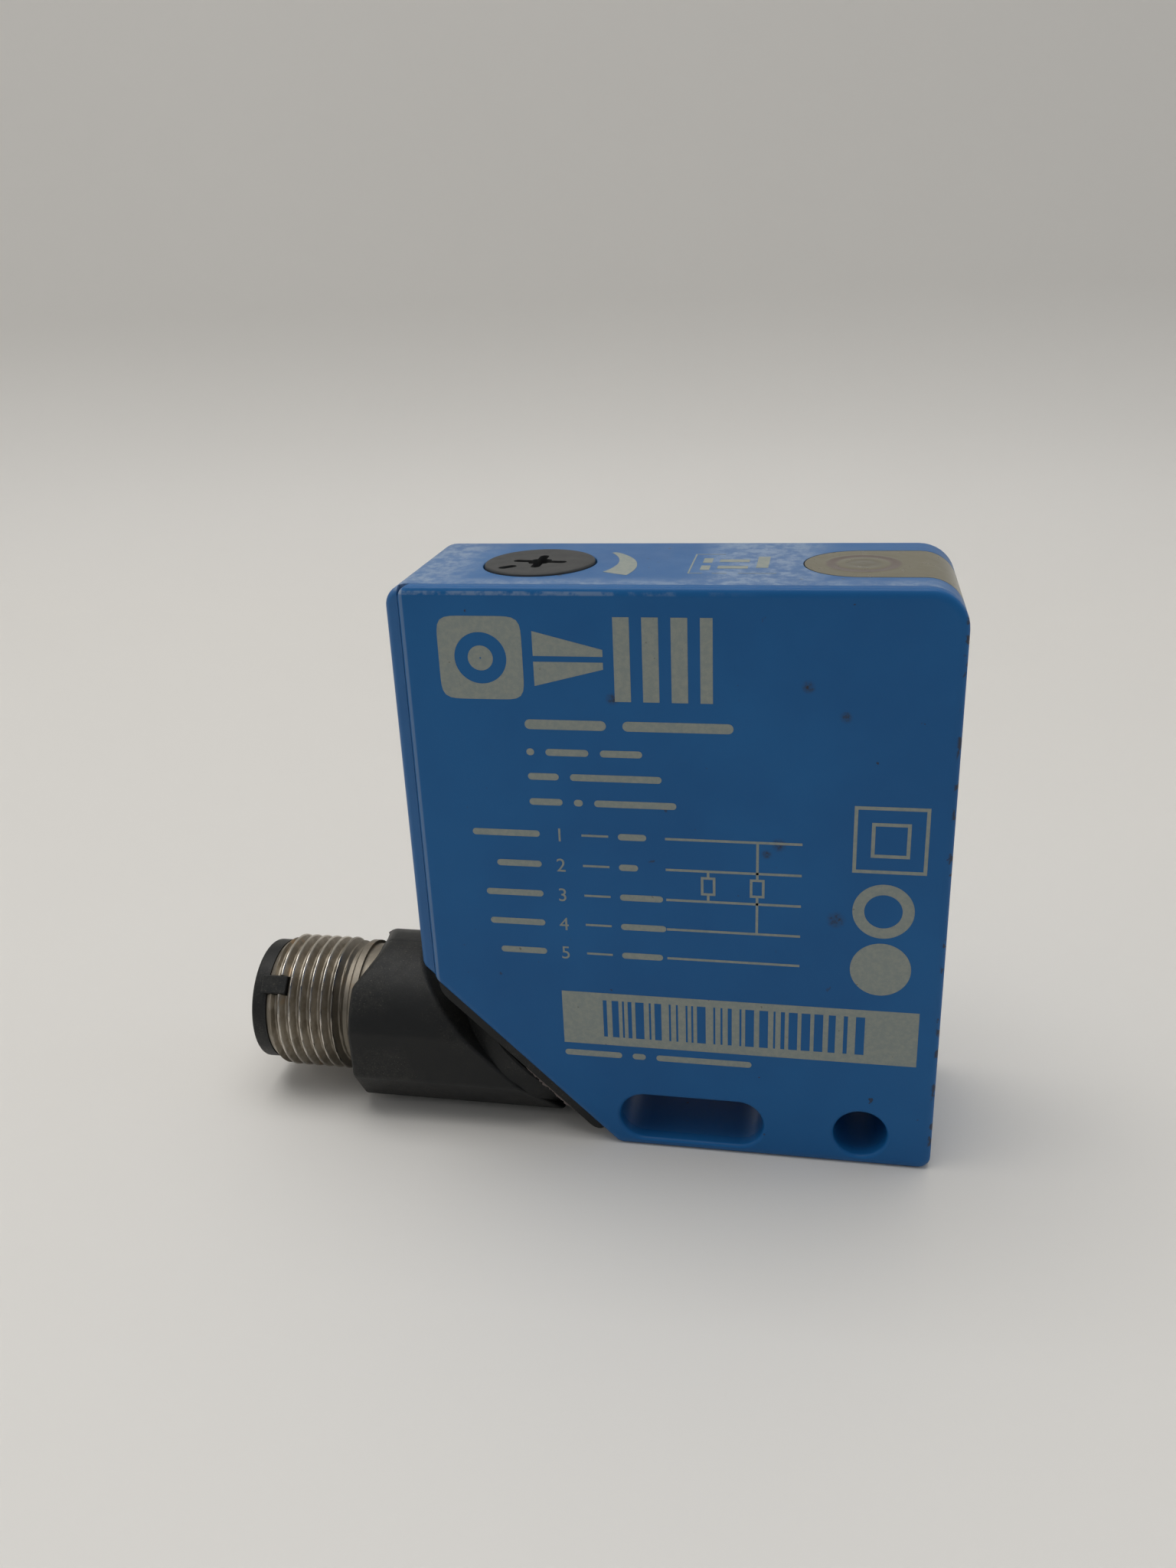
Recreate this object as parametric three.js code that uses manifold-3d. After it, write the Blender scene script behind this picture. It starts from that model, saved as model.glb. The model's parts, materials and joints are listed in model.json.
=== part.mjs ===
// A contrast-type photoelectric sensor in a flat metal housing, with a swivelling M12 plug.
// Millimetres. +X points to the optics side, +Y to the back and +Z up.
// The origin is the centre of the bottom face, on the ground.
import * as THREE from "three";
import { mergeVertices } from "three/addons/utils/BufferGeometryUtils.js";
import Module from "manifold-3d";

const wasm = await Module();
wasm.setup();

// Driving dimensions.
const gap = 0.3;
const housing = {
  left: -21,
  right: 21,
  front: -7.8,
  back: 7.8,
  height: 48.5,
  wall: 1.8,
  cutSum: -4.8, // x + z on the slanted face
  lipBottom: 15.8,
  lipFront: -7.4,
  topLeftRadius: 1.6,
  topRightRadius: 2.9,
  bottomRightRadius: 0.9,
};
const cover = { left: -19.9, thickness: 1.1 };
const gasket = { width: 0.7, depth: 0.7, inset: 1.1 };
const slot = { x: 1.4, z: 2.95, length: 12, width: 4.3 };
const hole = { x: 15.3, z: 2.95, radius: 2.15 };
const bossWall = 1.2;
const screen = { tip: 9.5, halfWidth: 4.2, bottom: 43, thickness: 1.5 };
const optics = {
  z: 30,
  lensRadius: 4.3,
  lensBack: 17.9,
  lensSeat: 19.9,
  domeRadius: 3.6,
  domeHeight: 0.9,
  apertureRadius: 3.9,
  ringRadius: 5,
};
const dial = { x: -10.7, radius: 4.3, proud: 0.3, thickness: 1.8, stemRadius: 1.8 };
const swivel = {
  x: -12.35,
  z: 7.55,
  stubRadius: 3.9,
  boreRadius: 2.3,
  neckRadius: 7.2,
  gapToFace: 2.97,
  spigotRadius: 5.4,
};
const flangePlate = { halfWidth: 7.3, low: -10.2, high: 9.5, corner: 1.5, back: -0.9, front: -0.3 };
const elbow = {
  end: -28.6,
  halfWidth: 7.35,
  top: 14.1,
  bottom: 0.9,
  bottomHalfWidth: 5.1,
  chamferTop: 4.4,
  shoulder: 8.7,
  bevelStart: 11.4,
  bevelLength: 2.2,
};
const plug = {
  z: 7.25,
  threadEnd: -37.1,
  threadStart: -30.8,
  shoulderLength: 1,
  spigotRadius: 5.6,
  spigotEnd: -26.9,
  rimEnd: -38.5,
  crestRadius: 6,
  rootRadius: 5.4,
  pitch: 1,
  boreRadius: 4.9,
  rimRadius: 5.4,
  cavityRadius: 4.15,
  cavityFloor: -31,
  pinRadius: 0.5,
  pinCircle: 2.5,
  keyAngle: 136, // degrees from +Y towards +Z
  keyWidth: 1.7,
  keyLength: 2,
};

const coverBack = housing.front + cover.thickness;
const rimFront = coverBack + gap;
const cavityBack = housing.back - housing.wall;
const topInside = housing.height - housing.wall;

function finish(color, roughness, metalness = 0) {
  return new THREE.MeshStandardMaterial({ color, roughness, metalness });
}

const finishes = {
  enamel: finish(0x2a5d8f, 0.42, 0.1),
  blackPlastic: finish(0x17191c, 0.55),
  rubber: finish(0x1d1d1e, 0.85),
  amberPlastic: finish(0xb9a53a, 0.25),
  clearPlastic: finish(0xd8e4ea, 0.08),
  nickel: finish(0xb8b2a4, 0.3, 1),
  gold: finish(0xd9b45a, 0.25, 1),
  steel: finish(0x9a9c9e, 0.35, 1),
  board: finish(0x1f5a3c, 0.5),
  chip: finish(0x222326, 0.45),
  aluminium: finish(0xa9acb0, 0.35, 1),
  ceramic: finish(0xc7a878, 0.5),
};

// A closed surface as a solid that can be joined and cut.
function solidOf(geometry) {
  const bare = geometry.clone();
  bare.deleteAttribute("normal");
  bare.deleteAttribute("uv");
  const merged = mergeVertices(bare, 1e-4);
  return new wasm.Manifold(
    new wasm.Mesh({
      numProp: 3,
      vertProperties: merged.attributes.position.array,
      triVerts: new Uint32Array(merged.index.array),
    }),
  );
}

function geometryOf(solid) {
  const mesh = solid.getMesh();
  const geometry = new THREE.BufferGeometry();
  geometry.setAttribute("position", new THREE.BufferAttribute(mesh.vertProperties, 3));
  geometry.setIndex(new THREE.BufferAttribute(mesh.triVerts, 1));
  geometry.computeVertexNormals();
  return geometry;
}

function joined(first, ...others) {
  return others.reduce((sum, other) => sum.add(other), first);
}

function cut(first, ...others) {
  return others.reduce((rest, other) => rest.subtract(other), first);
}

// A closed outline from corners [u, v, radius], counter-clockwise, each rounded by a tangent arc.
function outline(corners) {
  const shape = new THREE.Shape();
  corners.forEach(([u, v, radius = 0], index) => {
    const corner = new THREE.Vector2(u, v);
    const [beforeU, beforeV] = corners.at(index - 1);
    const [afterU, afterV] = corners[(index + 1) % corners.length];
    const before = new THREE.Vector2(beforeU, beforeV).sub(corner).normalize();
    const after = new THREE.Vector2(afterU, afterV).sub(corner).normalize();
    const half = Math.acos(before.dot(after)) / 2;
    const start = corner.clone().addScaledVector(before, radius / Math.tan(half));
    const end = corner.clone().addScaledVector(after, radius / Math.tan(half));
    if (index === 0) shape.moveTo(start.x, start.y);
    else shape.lineTo(start.x, start.y);
    if (radius === 0) return;
    const inward = before.clone().add(after).normalize();
    const centre = corner.clone().addScaledVector(inward, radius / Math.sin(half));
    const startAngle = Math.atan2(start.y - centre.y, start.x - centre.x);
    const endAngle = Math.atan2(end.y - centre.y, end.x - centre.x);
    shape.absarc(centre.x, centre.y, radius, startAngle, endAngle, before.cross(after) > 0);
  });
  shape.closePath();
  return shape;
}

function circle(u, v, radius) {
  return new THREE.Shape().absarc(u, v, radius, 0, 2 * Math.PI, false);
}

function rectangle(uMin, vMin, uMax, vMax, radius = 0) {
  return outline([
    [uMin, vMin, radius],
    [uMax, vMin, radius],
    [uMax, vMax, radius],
    [uMin, vMax, radius],
  ]);
}

function stadium(u, v, length, width) {
  const reach = (length - width) / 2;
  const shape = new THREE.Shape();
  shape.absarc(u + reach, v, width / 2, -Math.PI / 2, Math.PI / 2, false);
  shape.absarc(u - reach, v, width / 2, Math.PI / 2, (3 * Math.PI) / 2, false);
  shape.closePath();
  return shape;
}

// Outlines drawn in (y, z), (x, z) or (x, y), pushed along the axis that is left.
const pushDirections = {
  x: new THREE.Matrix4().makeBasis(
    new THREE.Vector3(0, 1, 0),
    new THREE.Vector3(0, 0, 1),
    new THREE.Vector3(1, 0, 0),
  ),
  y: new THREE.Matrix4().makeBasis(
    new THREE.Vector3(1, 0, 0),
    new THREE.Vector3(0, 0, 1),
    new THREE.Vector3(0, -1, 0),
  ),
  z: new THREE.Matrix4(),
};

function pushed(shape, axis, from, to, curveSegments = 5) {
  const geometry = new THREE.ExtrudeGeometry(shape, {
    depth: to - from,
    bevelEnabled: false,
    curveSegments,
  });
  geometry.translate(0, 0, axis === "y" ? -to : from);
  return solidOf(geometry.applyMatrix4(pushDirections[axis]));
}

function block(xMin, yMin, zMin, xMax, yMax, zMax) {
  return pushed(rectangle(xMin, yMin, xMax, yMax), "z", zMin, zMax);
}

// A body of revolution from [radius, height] points, counter-clockwise, along a unit direction.
function turned(profile, direction, origin, segments = 24) {
  const points = profile.map(([radius, height]) => new THREE.Vector2(radius, height));
  const geometry = new THREE.LatheGeometry(points, segments);
  const up = new THREE.Vector3(0, 1, 0);
  geometry.applyQuaternion(new THREE.Quaternion().setFromUnitVectors(up, direction));
  geometry.translate(origin.x, origin.y, origin.z);
  return solidOf(geometry);
}

function rod(radius, from, to) {
  return [[0, from], [radius, from], [radius, to], [0, to]];
}

function tube(inner, outer, from, to) {
  return [[inner, from], [outer, from], [outer, to], [inner, to], [inner, from]];
}

const alongX = new THREE.Vector3(1, 0, 0);
const alongZ = new THREE.Vector3(0, 0, 1);
const swivelAxis = new THREE.Vector3(1, 0, 1).normalize();
const centreLineX = (z) => new THREE.Vector3(0, 0, z);
const centreLineZ = (x) => new THREE.Vector3(x, 0, 0);
const swivelCentre = new THREE.Vector3(swivel.x, 0, swivel.z);

const sensor = new THREE.Group();
sensor.name = "contrast_sensor";

function addPiece(name, solid, material, parent = sensor) {
  const mesh = new THREE.Mesh(geometryOf(solid), material);
  mesh.name = name;
  parent.add(mesh);
  return mesh;
}

// Housing and cover.

function housingOutline(inset) {
  const { left, right, height, cutSum, lipBottom } = housing;
  const sum = cutSum + inset * Math.SQRT2;
  const cornerRadius = (radius) => Math.max(radius - inset, 0.3);
  const lowerLeft = inset === 0
    ? [[left, lipBottom, 0], [cutSum - lipBottom, lipBottom, 0]]
    : [[left + inset, sum - left - inset, 0]];
  return outline([
    [sum - inset, inset, 0],
    [right - inset, inset, cornerRadius(housing.bottomRightRadius)],
    [right - inset, height - inset, cornerRadius(housing.topRightRadius)],
    [left + inset, height - inset, cornerRadius(housing.topLeftRadius)],
    ...lowerLeft,
  ]);
}

function mountingHoles(grow = 0) {
  const from = housing.front - 1;
  const to = housing.back + 1;
  return [
    pushed(stadium(slot.x, slot.z, slot.length + 2 * grow, slot.width + 2 * grow), "y", from, to, 6),
    pushed(circle(hole.x, hole.z, hole.radius + grow), "y", from, to, 12),
  ];
}

// The display window follows the top face, the rounded corner and the optics side.
function screenBody(grow) {
  const inset = screen.thickness;
  const band = cut(
    pushed(housingOutline(0), "y", -screen.halfWidth - grow, screen.halfWidth + grow),
    pushed(housingOutline(inset + grow), "y", housing.front, housing.back),
  );
  const plan = outline([
    [screen.tip - grow, -screen.halfWidth - grow, screen.halfWidth + grow],
    [housing.right + 1, -screen.halfWidth - grow, 0],
    [housing.right + 1, screen.halfWidth + grow, 0],
    [screen.tip - grow, screen.halfWidth + grow, screen.halfWidth + grow],
  ]);
  return band.intersect(pushed(plan, "z", screen.bottom - grow, housing.height + 1, 6));
}

function addHousing() {
  const walls = cut(
    pushed(housingOutline(0), "y", rimFront, housing.back),
    pushed(housingOutline(housing.wall), "y", rimFront - 1, cavityBack),
  );
  const lip = block(
    housing.left,
    housing.lipFront,
    housing.lipBottom,
    cover.left - gap,
    rimFront + 0.5,
    housing.height - housing.topLeftRadius,
  );
  const inside = pushed(housingOutline(0.5), "y", rimFront, housing.back - 0.5);
  const bosses = mountingHoles(bossWall).map((boss) => boss.intersect(inside));
  const lensSeat = turned(
    tube(optics.lensRadius + gap, optics.lensRadius + 1.2, 16.6, 20),
    alongX,
    centreLineX(optics.z),
  );
  const gasketSeat = cut(
    pushed(housingOutline(gasket.inset - gap), "y", rimFront - 1, rimFront + gasket.depth + gap),
    pushed(housingOutline(housing.wall + 2), "y", rimFront - 2, housing.back),
  );
  const lensOpening = turned(rod(optics.lensRadius + gap, 17, 22), alongX, centreLineX(optics.z));
  const ringSeat = turned(rod(optics.ringRadius + gap, 20.2, 22), alongX, centreLineX(optics.z));
  const dialOpening = turned(rod(dial.radius + gap, 40, 50), alongZ, centreLineZ(dial.x));
  const swivelOpening = turned(rod(5.7, -2, 6), swivelAxis, swivelCentre);
  const shell = cut(
    joined(walls, lip, ...bosses, lensSeat),
    gasketSeat,
    ...mountingHoles(),
    screenBody(gap),
    lensOpening,
    ringSeat,
    dialOpening,
    swivelOpening,
  );
  addPiece("housing_shell", shell, finishes.enamel);
}

function addCover() {
  const { right, height, cutSum } = housing;
  const plate = outline([
    [cutSum, 0, 0.4],
    [right, 0, housing.bottomRightRadius],
    [right, height, housing.topRightRadius],
    [cover.left, height, 0.5],
    [cover.left, cutSum - cover.left, 0.3],
  ]);
  const body = cut(pushed(plate, "y", housing.front, coverBack), ...mountingHoles());
  addPiece("front_cover", body, finishes.enamel);

  const seal = cut(
    pushed(housingOutline(gasket.inset), "y", rimFront, rimFront + gasket.depth),
    pushed(housingOutline(gasket.inset + gasket.width), "y", housing.front, housing.back),
    ...mountingHoles(bossWall + gap),
  );
  addPiece("cover_gasket", seal.decompose()[0], finishes.rubber);
}

function addScreen() {
  addPiece("display_window", screenBody(0), finishes.amberPlastic);
  const under = housing.height - screen.thickness - gap;
  const plan = (inset) => stadium(14.2, 0, 8.6 - 2 * inset, 7 - 2 * inset);
  const seal = cut(
    pushed(plan(0), "z", under - 0.8, under, 6),
    pushed(plan(0.8), "z", under - 2, under + 1, 6),
  );
  addPiece("window_gasket", seal, finishes.rubber);
  addPiece(
    "light_guide",
    turned(rod(1.9, 44.2, under), alongZ, centreLineZ(13.8), 20),
    finishes.clearPlastic,
  );
}

// Optics: lens, beam splitter, light source and receiver, held by one block.

function addOptics() {
  const axis = centreLineX(optics.z);
  const { apertureRadius, ringRadius, lensRadius, lensBack, lensSeat, domeRadius, domeHeight } = optics;
  const ring = tube(apertureRadius, ringRadius, 20.5, housing.right);
  addPiece("lens_ring", turned(ring, alongX, axis), finishes.blackPlastic);

  const dome = [3, 2, 1, 0].map((step) => {
    const share = step / 3;
    return [domeRadius * share, lensSeat + domeHeight * (1 - share ** 2)];
  });
  const lens = [[0, lensBack], [lensRadius, lensBack], [lensRadius, lensSeat], ...dome];
  addPiece("objective_lens", turned(lens, alongX, axis), finishes.clearPlastic);
  addPiece("lens_oring", turned(tube(3.5, 4.3, 16.8, 17.6), alongX, axis, 20), finishes.rubber);

  const frame = cut(
    block(2.5, -5.4, optics.z - 5.8, 16.3, 4.5, optics.z + 5.8),
    turned(rod(3.4, 9, 17), alongX, axis, 20),
    block(4.8, -3.4, optics.z - 3.4, 11.2, 3.4, optics.z + 3.4),
    turned(rod(2.6, 2, 5), alongX, axis, 20),
    turned(rod(2.6, optics.z, optics.z + 7), alongZ, centreLineZ(8), 20),
  );
  addPiece("optics_block", frame, finishes.blackPlastic);

  const mirror = block(-3.6, -3, -0.35, 3.6, 3, 0.35);
  const splitter = addPiece("beam_splitter", mirror, finishes.clearPlastic);
  splitter.position.set(8, 0, optics.z);
  splitter.rotation.y = Math.PI / 4;

  const emitterAxis = centreLineZ(8);
  const condenser = [[0, 33.2], [2.3, 33.2], [2.3, 33.8], [1.4, 34.3], [0, 34.5]];
  addPiece("condenser_lens", turned(condenser, alongZ, emitterAxis, 20), finishes.clearPlastic);
  addPiece("emitter_led", turned(rod(2.2, 34.9, 37.4), alongZ, emitterAxis, 20), finishes.clearPlastic);
  addPiece("emitter_board", block(4.6, -3.6, 37.7, 11.4, 4.4, 38.5), finishes.board);
  addPiece("aperture_plate", turned(tube(0.6, 2.3, 4.5, 4.9), alongX, axis, 20), finishes.steel);
  addPiece("receiver_photodiode", turned(rod(2.2, 2.4, 4.1), alongX, axis, 20), finishes.chip);
  addPiece("receiver_board", block(1.2, -4.4, optics.z - 4.4, 2, 4.4, optics.z + 4.4), finishes.board);
}

// Electronics.

function addElectronics() {
  const board = outline([
    [-6.2, 7, 0.5],
    [16, 7, 0.5],
    [16, 45.4, 0.5],
    [-18.4, 45.4, 0.5],
    [-18.4, 19.4, 0.5],
  ]);
  addPiece("main_circuit_board", pushed(board, "y", 4.9, 5.7), finishes.board);
  const chips = [
    ["microcontroller", -16, 27.5, 8, 8, 1.2],
    ["signal_amplifier", -5.6, 28.5, 5, 4, 1.2],
    ["switching_output", -6, 21, 5, 5, 1.2],
    ["voltage_regulator", 3, 12, 6.5, 6.5, 2.2],
  ];
  for (const [name, x, z, width, height, depth] of chips) {
    addPiece(name, block(x, 4.6 - depth, z, x + width, 4.6, z + height), finishes.chip);
  }
  for (const [index, x] of [12.4, -1].entries()) {
    const can = new THREE.Group();
    can.position.set(x, 4.6, 15);
    sensor.add(can);
    const body = turned(rod(2.2, -6.5, 0), new THREE.Vector3(0, 1, 0), new THREE.Vector3(), 20);
    addPiece(`capacitor_${index + 1}`, body, finishes.aluminium, can);
  }
  addPiece("display_board", block(7.6, -5, 41.6, 18.7, 4.5, 42.4), finishes.board);
  for (const [index, x] of [13.8, 17.2].entries()) {
    const body = block(-0.9, -0.9, 0, 0.9, 0.9, 1.1);
    const led = addPiece(`indicator_led_${index + 1}`, body, finishes.clearPlastic);
    led.position.set(x, 0, 42.7);
  }
}

// Threshold dial on the shaft of a single-turn potentiometer.

function addDial() {
  const axis = centreLineZ(dial.x);
  const top = housing.height + dial.proud;
  const under = top - dial.thickness;
  const knob = [
    [0, 43.4],
    [dial.stemRadius, 43.4],
    [dial.stemRadius, under],
    [dial.radius, under],
    [dial.radius, top - 0.3],
    [dial.radius - 0.3, top],
    [0, top],
  ];
  const slots = [
    block(dial.x - 2.15, -0.5, top - 1, dial.x + 2.15, 0.5, top + 1),
    block(dial.x - 0.5, -2.05, top - 1, dial.x + 0.5, 2.05, top + 1),
  ];
  const pointer = solidOf(new THREE.BoxGeometry(1.2, 0.4, 0.5).translate(2.8, 0, 0))
    .rotate([0, 0, 222])
    .translate([dial.x, 0, top]);
  addPiece("threshold_dial", cut(turned(knob, alongZ, axis), ...slots, pointer), finishes.blackPlastic);
  addPiece("dial_oring", turned(tube(2.1, 3.2, 45.7, 46.5), alongZ, axis, 24), finishes.rubber);
  addPiece("potentiometer_rotor", turned(tube(2.1, 3, 41.6, 45.1), alongZ, axis, 24), finishes.ceramic);
  const body = cut(
    block(dial.x - 4.5, -4.4, 38.6, dial.x + 4.5, 4.5, 45.4),
    turned(rod(3.3, 41.3, 46), alongZ, axis, 24),
  );
  addPiece("potentiometer_body", body, finishes.ceramic);
}

// Swivel bearing between the slanted face and the elbow.

function addSwivelBearing() {
  const { halfWidth, low, high, corner, back, front } = flangePlate;
  const plate = rectangle(low, -halfWidth, high, halfWidth, corner);
  const spigot = turned(rod(swivel.spigotRadius, back + 0.5, 2.4), alongZ, new THREE.Vector3());
  const bearing = new THREE.Group();
  bearing.position.copy(swivelCentre);
  bearing.rotation.y = Math.PI / 4;
  sensor.add(bearing);
  const origin = new THREE.Vector3();
  const flange = cut(
    joined(pushed(plate, "z", back, front), spigot),
    turned(rod(swivel.stubRadius + gap, -2, 4), alongZ, origin),
  );
  addPiece("swivel_flange", flange, finishes.blackPlastic, bearing);
  addPiece("wave_washer", turned(tube(4.2, 5.3, 2.7, 3), alongZ, origin), finishes.steel, bearing);
  addPiece("swivel_oring", turned(tube(3.3, 3.9, 0.5, 1.1), alongZ, origin), finishes.rubber, bearing);
  const clip = cut(
    turned(tube(3.4, 5, 3.3, 4), alongZ, origin),
    block(2, -1.1, 3, 6, 1.1, 5),
  );
  addPiece("swivel_retaining_ring", clip, finishes.steel, bearing);
  addPiece("connector_board", block(-4, -4.2, 6.4, 4, 4.2, 7.2), finishes.board, bearing);
}

function addElbow() {
  const { end, halfWidth, top, bottom, bottomHalfWidth, chamferTop, shoulder } = elbow;
  const rise = top - shoulder;
  const arcRadius = (halfWidth ** 2 + rise ** 2) / (2 * rise);
  const arcCentre = top - arcRadius;
  const startAngle = Math.atan2(shoulder - arcCentre, halfWidth);
  const section = new THREE.Shape();
  section.moveTo(-bottomHalfWidth, bottom);
  section.lineTo(bottomHalfWidth, bottom);
  section.lineTo(halfWidth, chamferTop);
  section.lineTo(halfWidth, shoulder);
  section.absarc(0, arcCentre, arcRadius, startAngle, Math.PI - startAngle, false);
  section.lineTo(-halfWidth, chamferTop);
  section.closePath();
  const slantSum = housing.cutSum - swivel.gapToFace * Math.SQRT2;
  const side = outline([
    [end, bottom - 1],
    [slantSum - bottom + 1, bottom - 1],
    [slantSum - top - 1, top + 1],
    [end + elbow.bevelLength, top + 1],
    [end + elbow.bevelLength, top],
    [end, elbow.bevelStart],
  ]);
  const bar = pushed(section, "x", end, -5, 8);
  const moulding = bar.intersect(pushed(side, "y", -9, 9));
  const neckEnd = flangePlate.back - gap;
  const neck = turned(rod(swivel.neckRadius, -4.5, neckEnd), swivelAxis, swivelCentre).intersect(bar);
  const stub = turned(rod(swivel.stubRadius, -2, 4.6), swivelAxis, swivelCentre);
  const body = cut(
    joined(moulding, neck, stub),
    turned(tube(3, 5, 0.2, 1.4), swivelAxis, swivelCentre),
    turned(tube(3.1, 5, 3, 4.3), swivelAxis, swivelCentre),
    turned(rod(swivel.boreRadius, -6, 6), swivelAxis, swivelCentre, 20),
    turned(rod(5.9, -30, -26.6), alongX, centreLineX(plug.z)),
    turned(rod(4, -27, -22.6), alongX, centreLineX(plug.z), 20),
    turned(rod(2.3, -24, -15.5), alongX, centreLineX(5.2), 20),
  );
  addPiece("elbow_body", body, finishes.blackPlastic);
}

// M12 plug: threaded sleeve, contact insert with five pins, and the leads behind them.

function keyBlock(width, length, inner, outer, from) {
  const angle = plug.keyAngle;
  return block(from, inner, -width / 2, from + length, outer, width / 2)
    .rotate([angle, 0, 0])
    .translate([0, 0, plug.z]);
}

function addPlug() {
  const axis = centreLineX(plug.z);
  const { crestRadius, rootRadius, boreRadius, threadEnd, rimEnd, pitch } = plug;
  const thread = [];
  const crests = [
    [crestRadius, 0.4],
    [crestRadius, 0.6],
    [rootRadius, 0.95],
    [rootRadius, 1.05],
  ];
  for (let x = threadEnd; x < plug.threadStart; x += pitch) {
    for (const [radius, ahead] of crests) thread.push([radius, x + ahead]);
  }
  const shoulderBack = elbow.end - gap;
  const sleeve = [
    [boreRadius, threadEnd],
    [rootRadius, threadEnd],
    ...thread.slice(0, -1),
    [rootRadius, shoulderBack - plug.shoulderLength],
    [crestRadius, shoulderBack - plug.shoulderLength],
    [crestRadius, shoulderBack],
    [plug.spigotRadius, shoulderBack],
    [plug.spigotRadius, plug.spigotEnd],
    [boreRadius, plug.spigotEnd],
    [boreRadius, threadEnd],
  ];
  const notch = keyBlock(plug.keyWidth, plug.keyLength + 1, 4.5, 8, threadEnd - 1);
  addPiece("threaded_sleeve", cut(turned(sleeve, alongX, axis), notch), finishes.nickel);

  const insertRadius = boreRadius - gap;
  const cup = [
    [0, plug.cavityFloor],
    [plug.cavityRadius, plug.cavityFloor],
    [plug.cavityRadius, rimEnd],
    [plug.rimRadius - 0.2, rimEnd],
    [plug.rimRadius, rimEnd + 0.2],
    [plug.rimRadius, threadEnd - gap],
    [insertRadius, threadEnd - gap],
    [insertRadius, -27.4],
    [0, -27.4],
  ];
  const places = [[0, 0]];
  for (let quarter = 0; quarter < 4; quarter += 1) {
    const angle = THREE.MathUtils.degToRad(plug.keyAngle + 45 + 90 * quarter);
    places.push([plug.pinCircle * Math.cos(angle), plug.pinCircle * Math.sin(angle)]);
  }
  const pinHoles = places.map(([y, z]) =>
    turned(rod(plug.pinRadius + gap, -32, -26), alongX, new THREE.Vector3(0, y, plug.z + z), 12),
  );
  const keyStart = threadEnd - 2 * gap;
  const outerKey = keyBlock(plug.keyWidth - 2 * gap, plug.keyLength, insertRadius - 0.3, 5.6, keyStart);
  const innerKey = keyBlock(1, 6.9, 3.6, 4.5, rimEnd + 0.2);
  const insert = cut(joined(turned(cup, alongX, axis), outerKey, innerKey), ...pinHoles);
  addPiece("contact_insert", insert, finishes.blackPlastic);

  const pinTip = rimEnd + 1;
  const pin = [
    [0, pinTip],
    [plug.pinRadius / 2, pinTip],
    [plug.pinRadius, pinTip + 0.4],
    [plug.pinRadius, -26.5],
    [0, -26.5],
  ];
  const leadColours = [0x3a3d40, 0x6b4226, 0xe8e8e4, 0x2456a8, 0x1c1c1c];
  for (const [index, [y, z]] of places.entries()) {
    const body = turned(pin, alongX, new THREE.Vector3(), 12);
    const mesh = addPiece(`contact_pin_${index + 1}`, body, finishes.gold);
    mesh.position.set(0, y, plug.z + z);
    addLead(index + 1, y / plug.pinCircle, z / plug.pinCircle, leadColours[index]);
  }
}

// One lead runs from its pin through the elbow and up the hollow stub of the swivel.
function addLead(number, acrossY, acrossUp, colour) {
  const stations = [
    [-26.1, plug.z, 2.5, 0],
    [-25, 6.9, 1.9, 0],
    [-23, 5.5, 1.15, 0],
    [-20, 5.1, 1.1, 0.1],
    [-17.4, 4.9, 1.1, 0.4],
    [-15.4, 5.1, 1.1, 0.8],
    [-13.6, 6.3, 1.1, 1],
    [-11.2, 8.7, 1.1, 1],
    [-8.9, 11, 1.1, 1],
  ];
  const points = stations.map(([x, z, spread, lean]) => {
    const tilt = (lean * Math.PI) / 4;
    const up = new THREE.Vector3(-Math.sin(tilt), 0, Math.cos(tilt));
    return new THREE.Vector3(x, spread * acrossY, z).addScaledVector(up, spread * acrossUp);
  });
  const wire = new THREE.ExtrudeGeometry(circle(0, 0, 0.35), {
    steps: 12,
    curveSegments: 3,
    bevelEnabled: false,
    extrudePath: new THREE.CatmullRomCurve3(points),
  });
  addPiece(`lead_${number}`, solidOf(wire), finish(colour, 0.6));
}

addHousing();
addCover();
addScreen();
addOptics();
addElectronics();
addDial();
addSwivelBearing();
addElbow();
addPlug();

export default sensor;
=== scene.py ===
import json
import math
import random

import bmesh
import bpy
from mathutils import Matrix, Vector


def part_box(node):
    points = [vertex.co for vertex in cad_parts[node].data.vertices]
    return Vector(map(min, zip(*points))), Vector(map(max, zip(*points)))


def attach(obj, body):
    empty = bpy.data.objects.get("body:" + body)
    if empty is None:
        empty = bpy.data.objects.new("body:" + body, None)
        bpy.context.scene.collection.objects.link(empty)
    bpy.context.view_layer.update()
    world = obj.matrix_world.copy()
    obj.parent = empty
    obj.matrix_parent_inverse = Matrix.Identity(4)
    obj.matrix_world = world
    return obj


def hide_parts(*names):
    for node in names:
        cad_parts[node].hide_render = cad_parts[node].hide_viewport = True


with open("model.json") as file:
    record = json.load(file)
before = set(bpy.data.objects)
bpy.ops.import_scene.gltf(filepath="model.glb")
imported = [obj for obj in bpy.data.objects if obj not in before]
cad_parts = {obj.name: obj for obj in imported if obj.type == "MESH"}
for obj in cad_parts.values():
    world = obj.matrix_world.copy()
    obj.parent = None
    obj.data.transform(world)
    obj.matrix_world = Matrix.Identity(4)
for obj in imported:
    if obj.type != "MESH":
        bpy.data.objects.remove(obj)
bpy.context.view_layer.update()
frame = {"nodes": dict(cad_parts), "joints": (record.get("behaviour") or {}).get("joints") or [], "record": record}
mm = 0.001


# Measures that the frame gives, in millimetres.

def boxMm(node):
    low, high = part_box(node)
    return low / mm, high / mm


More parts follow.
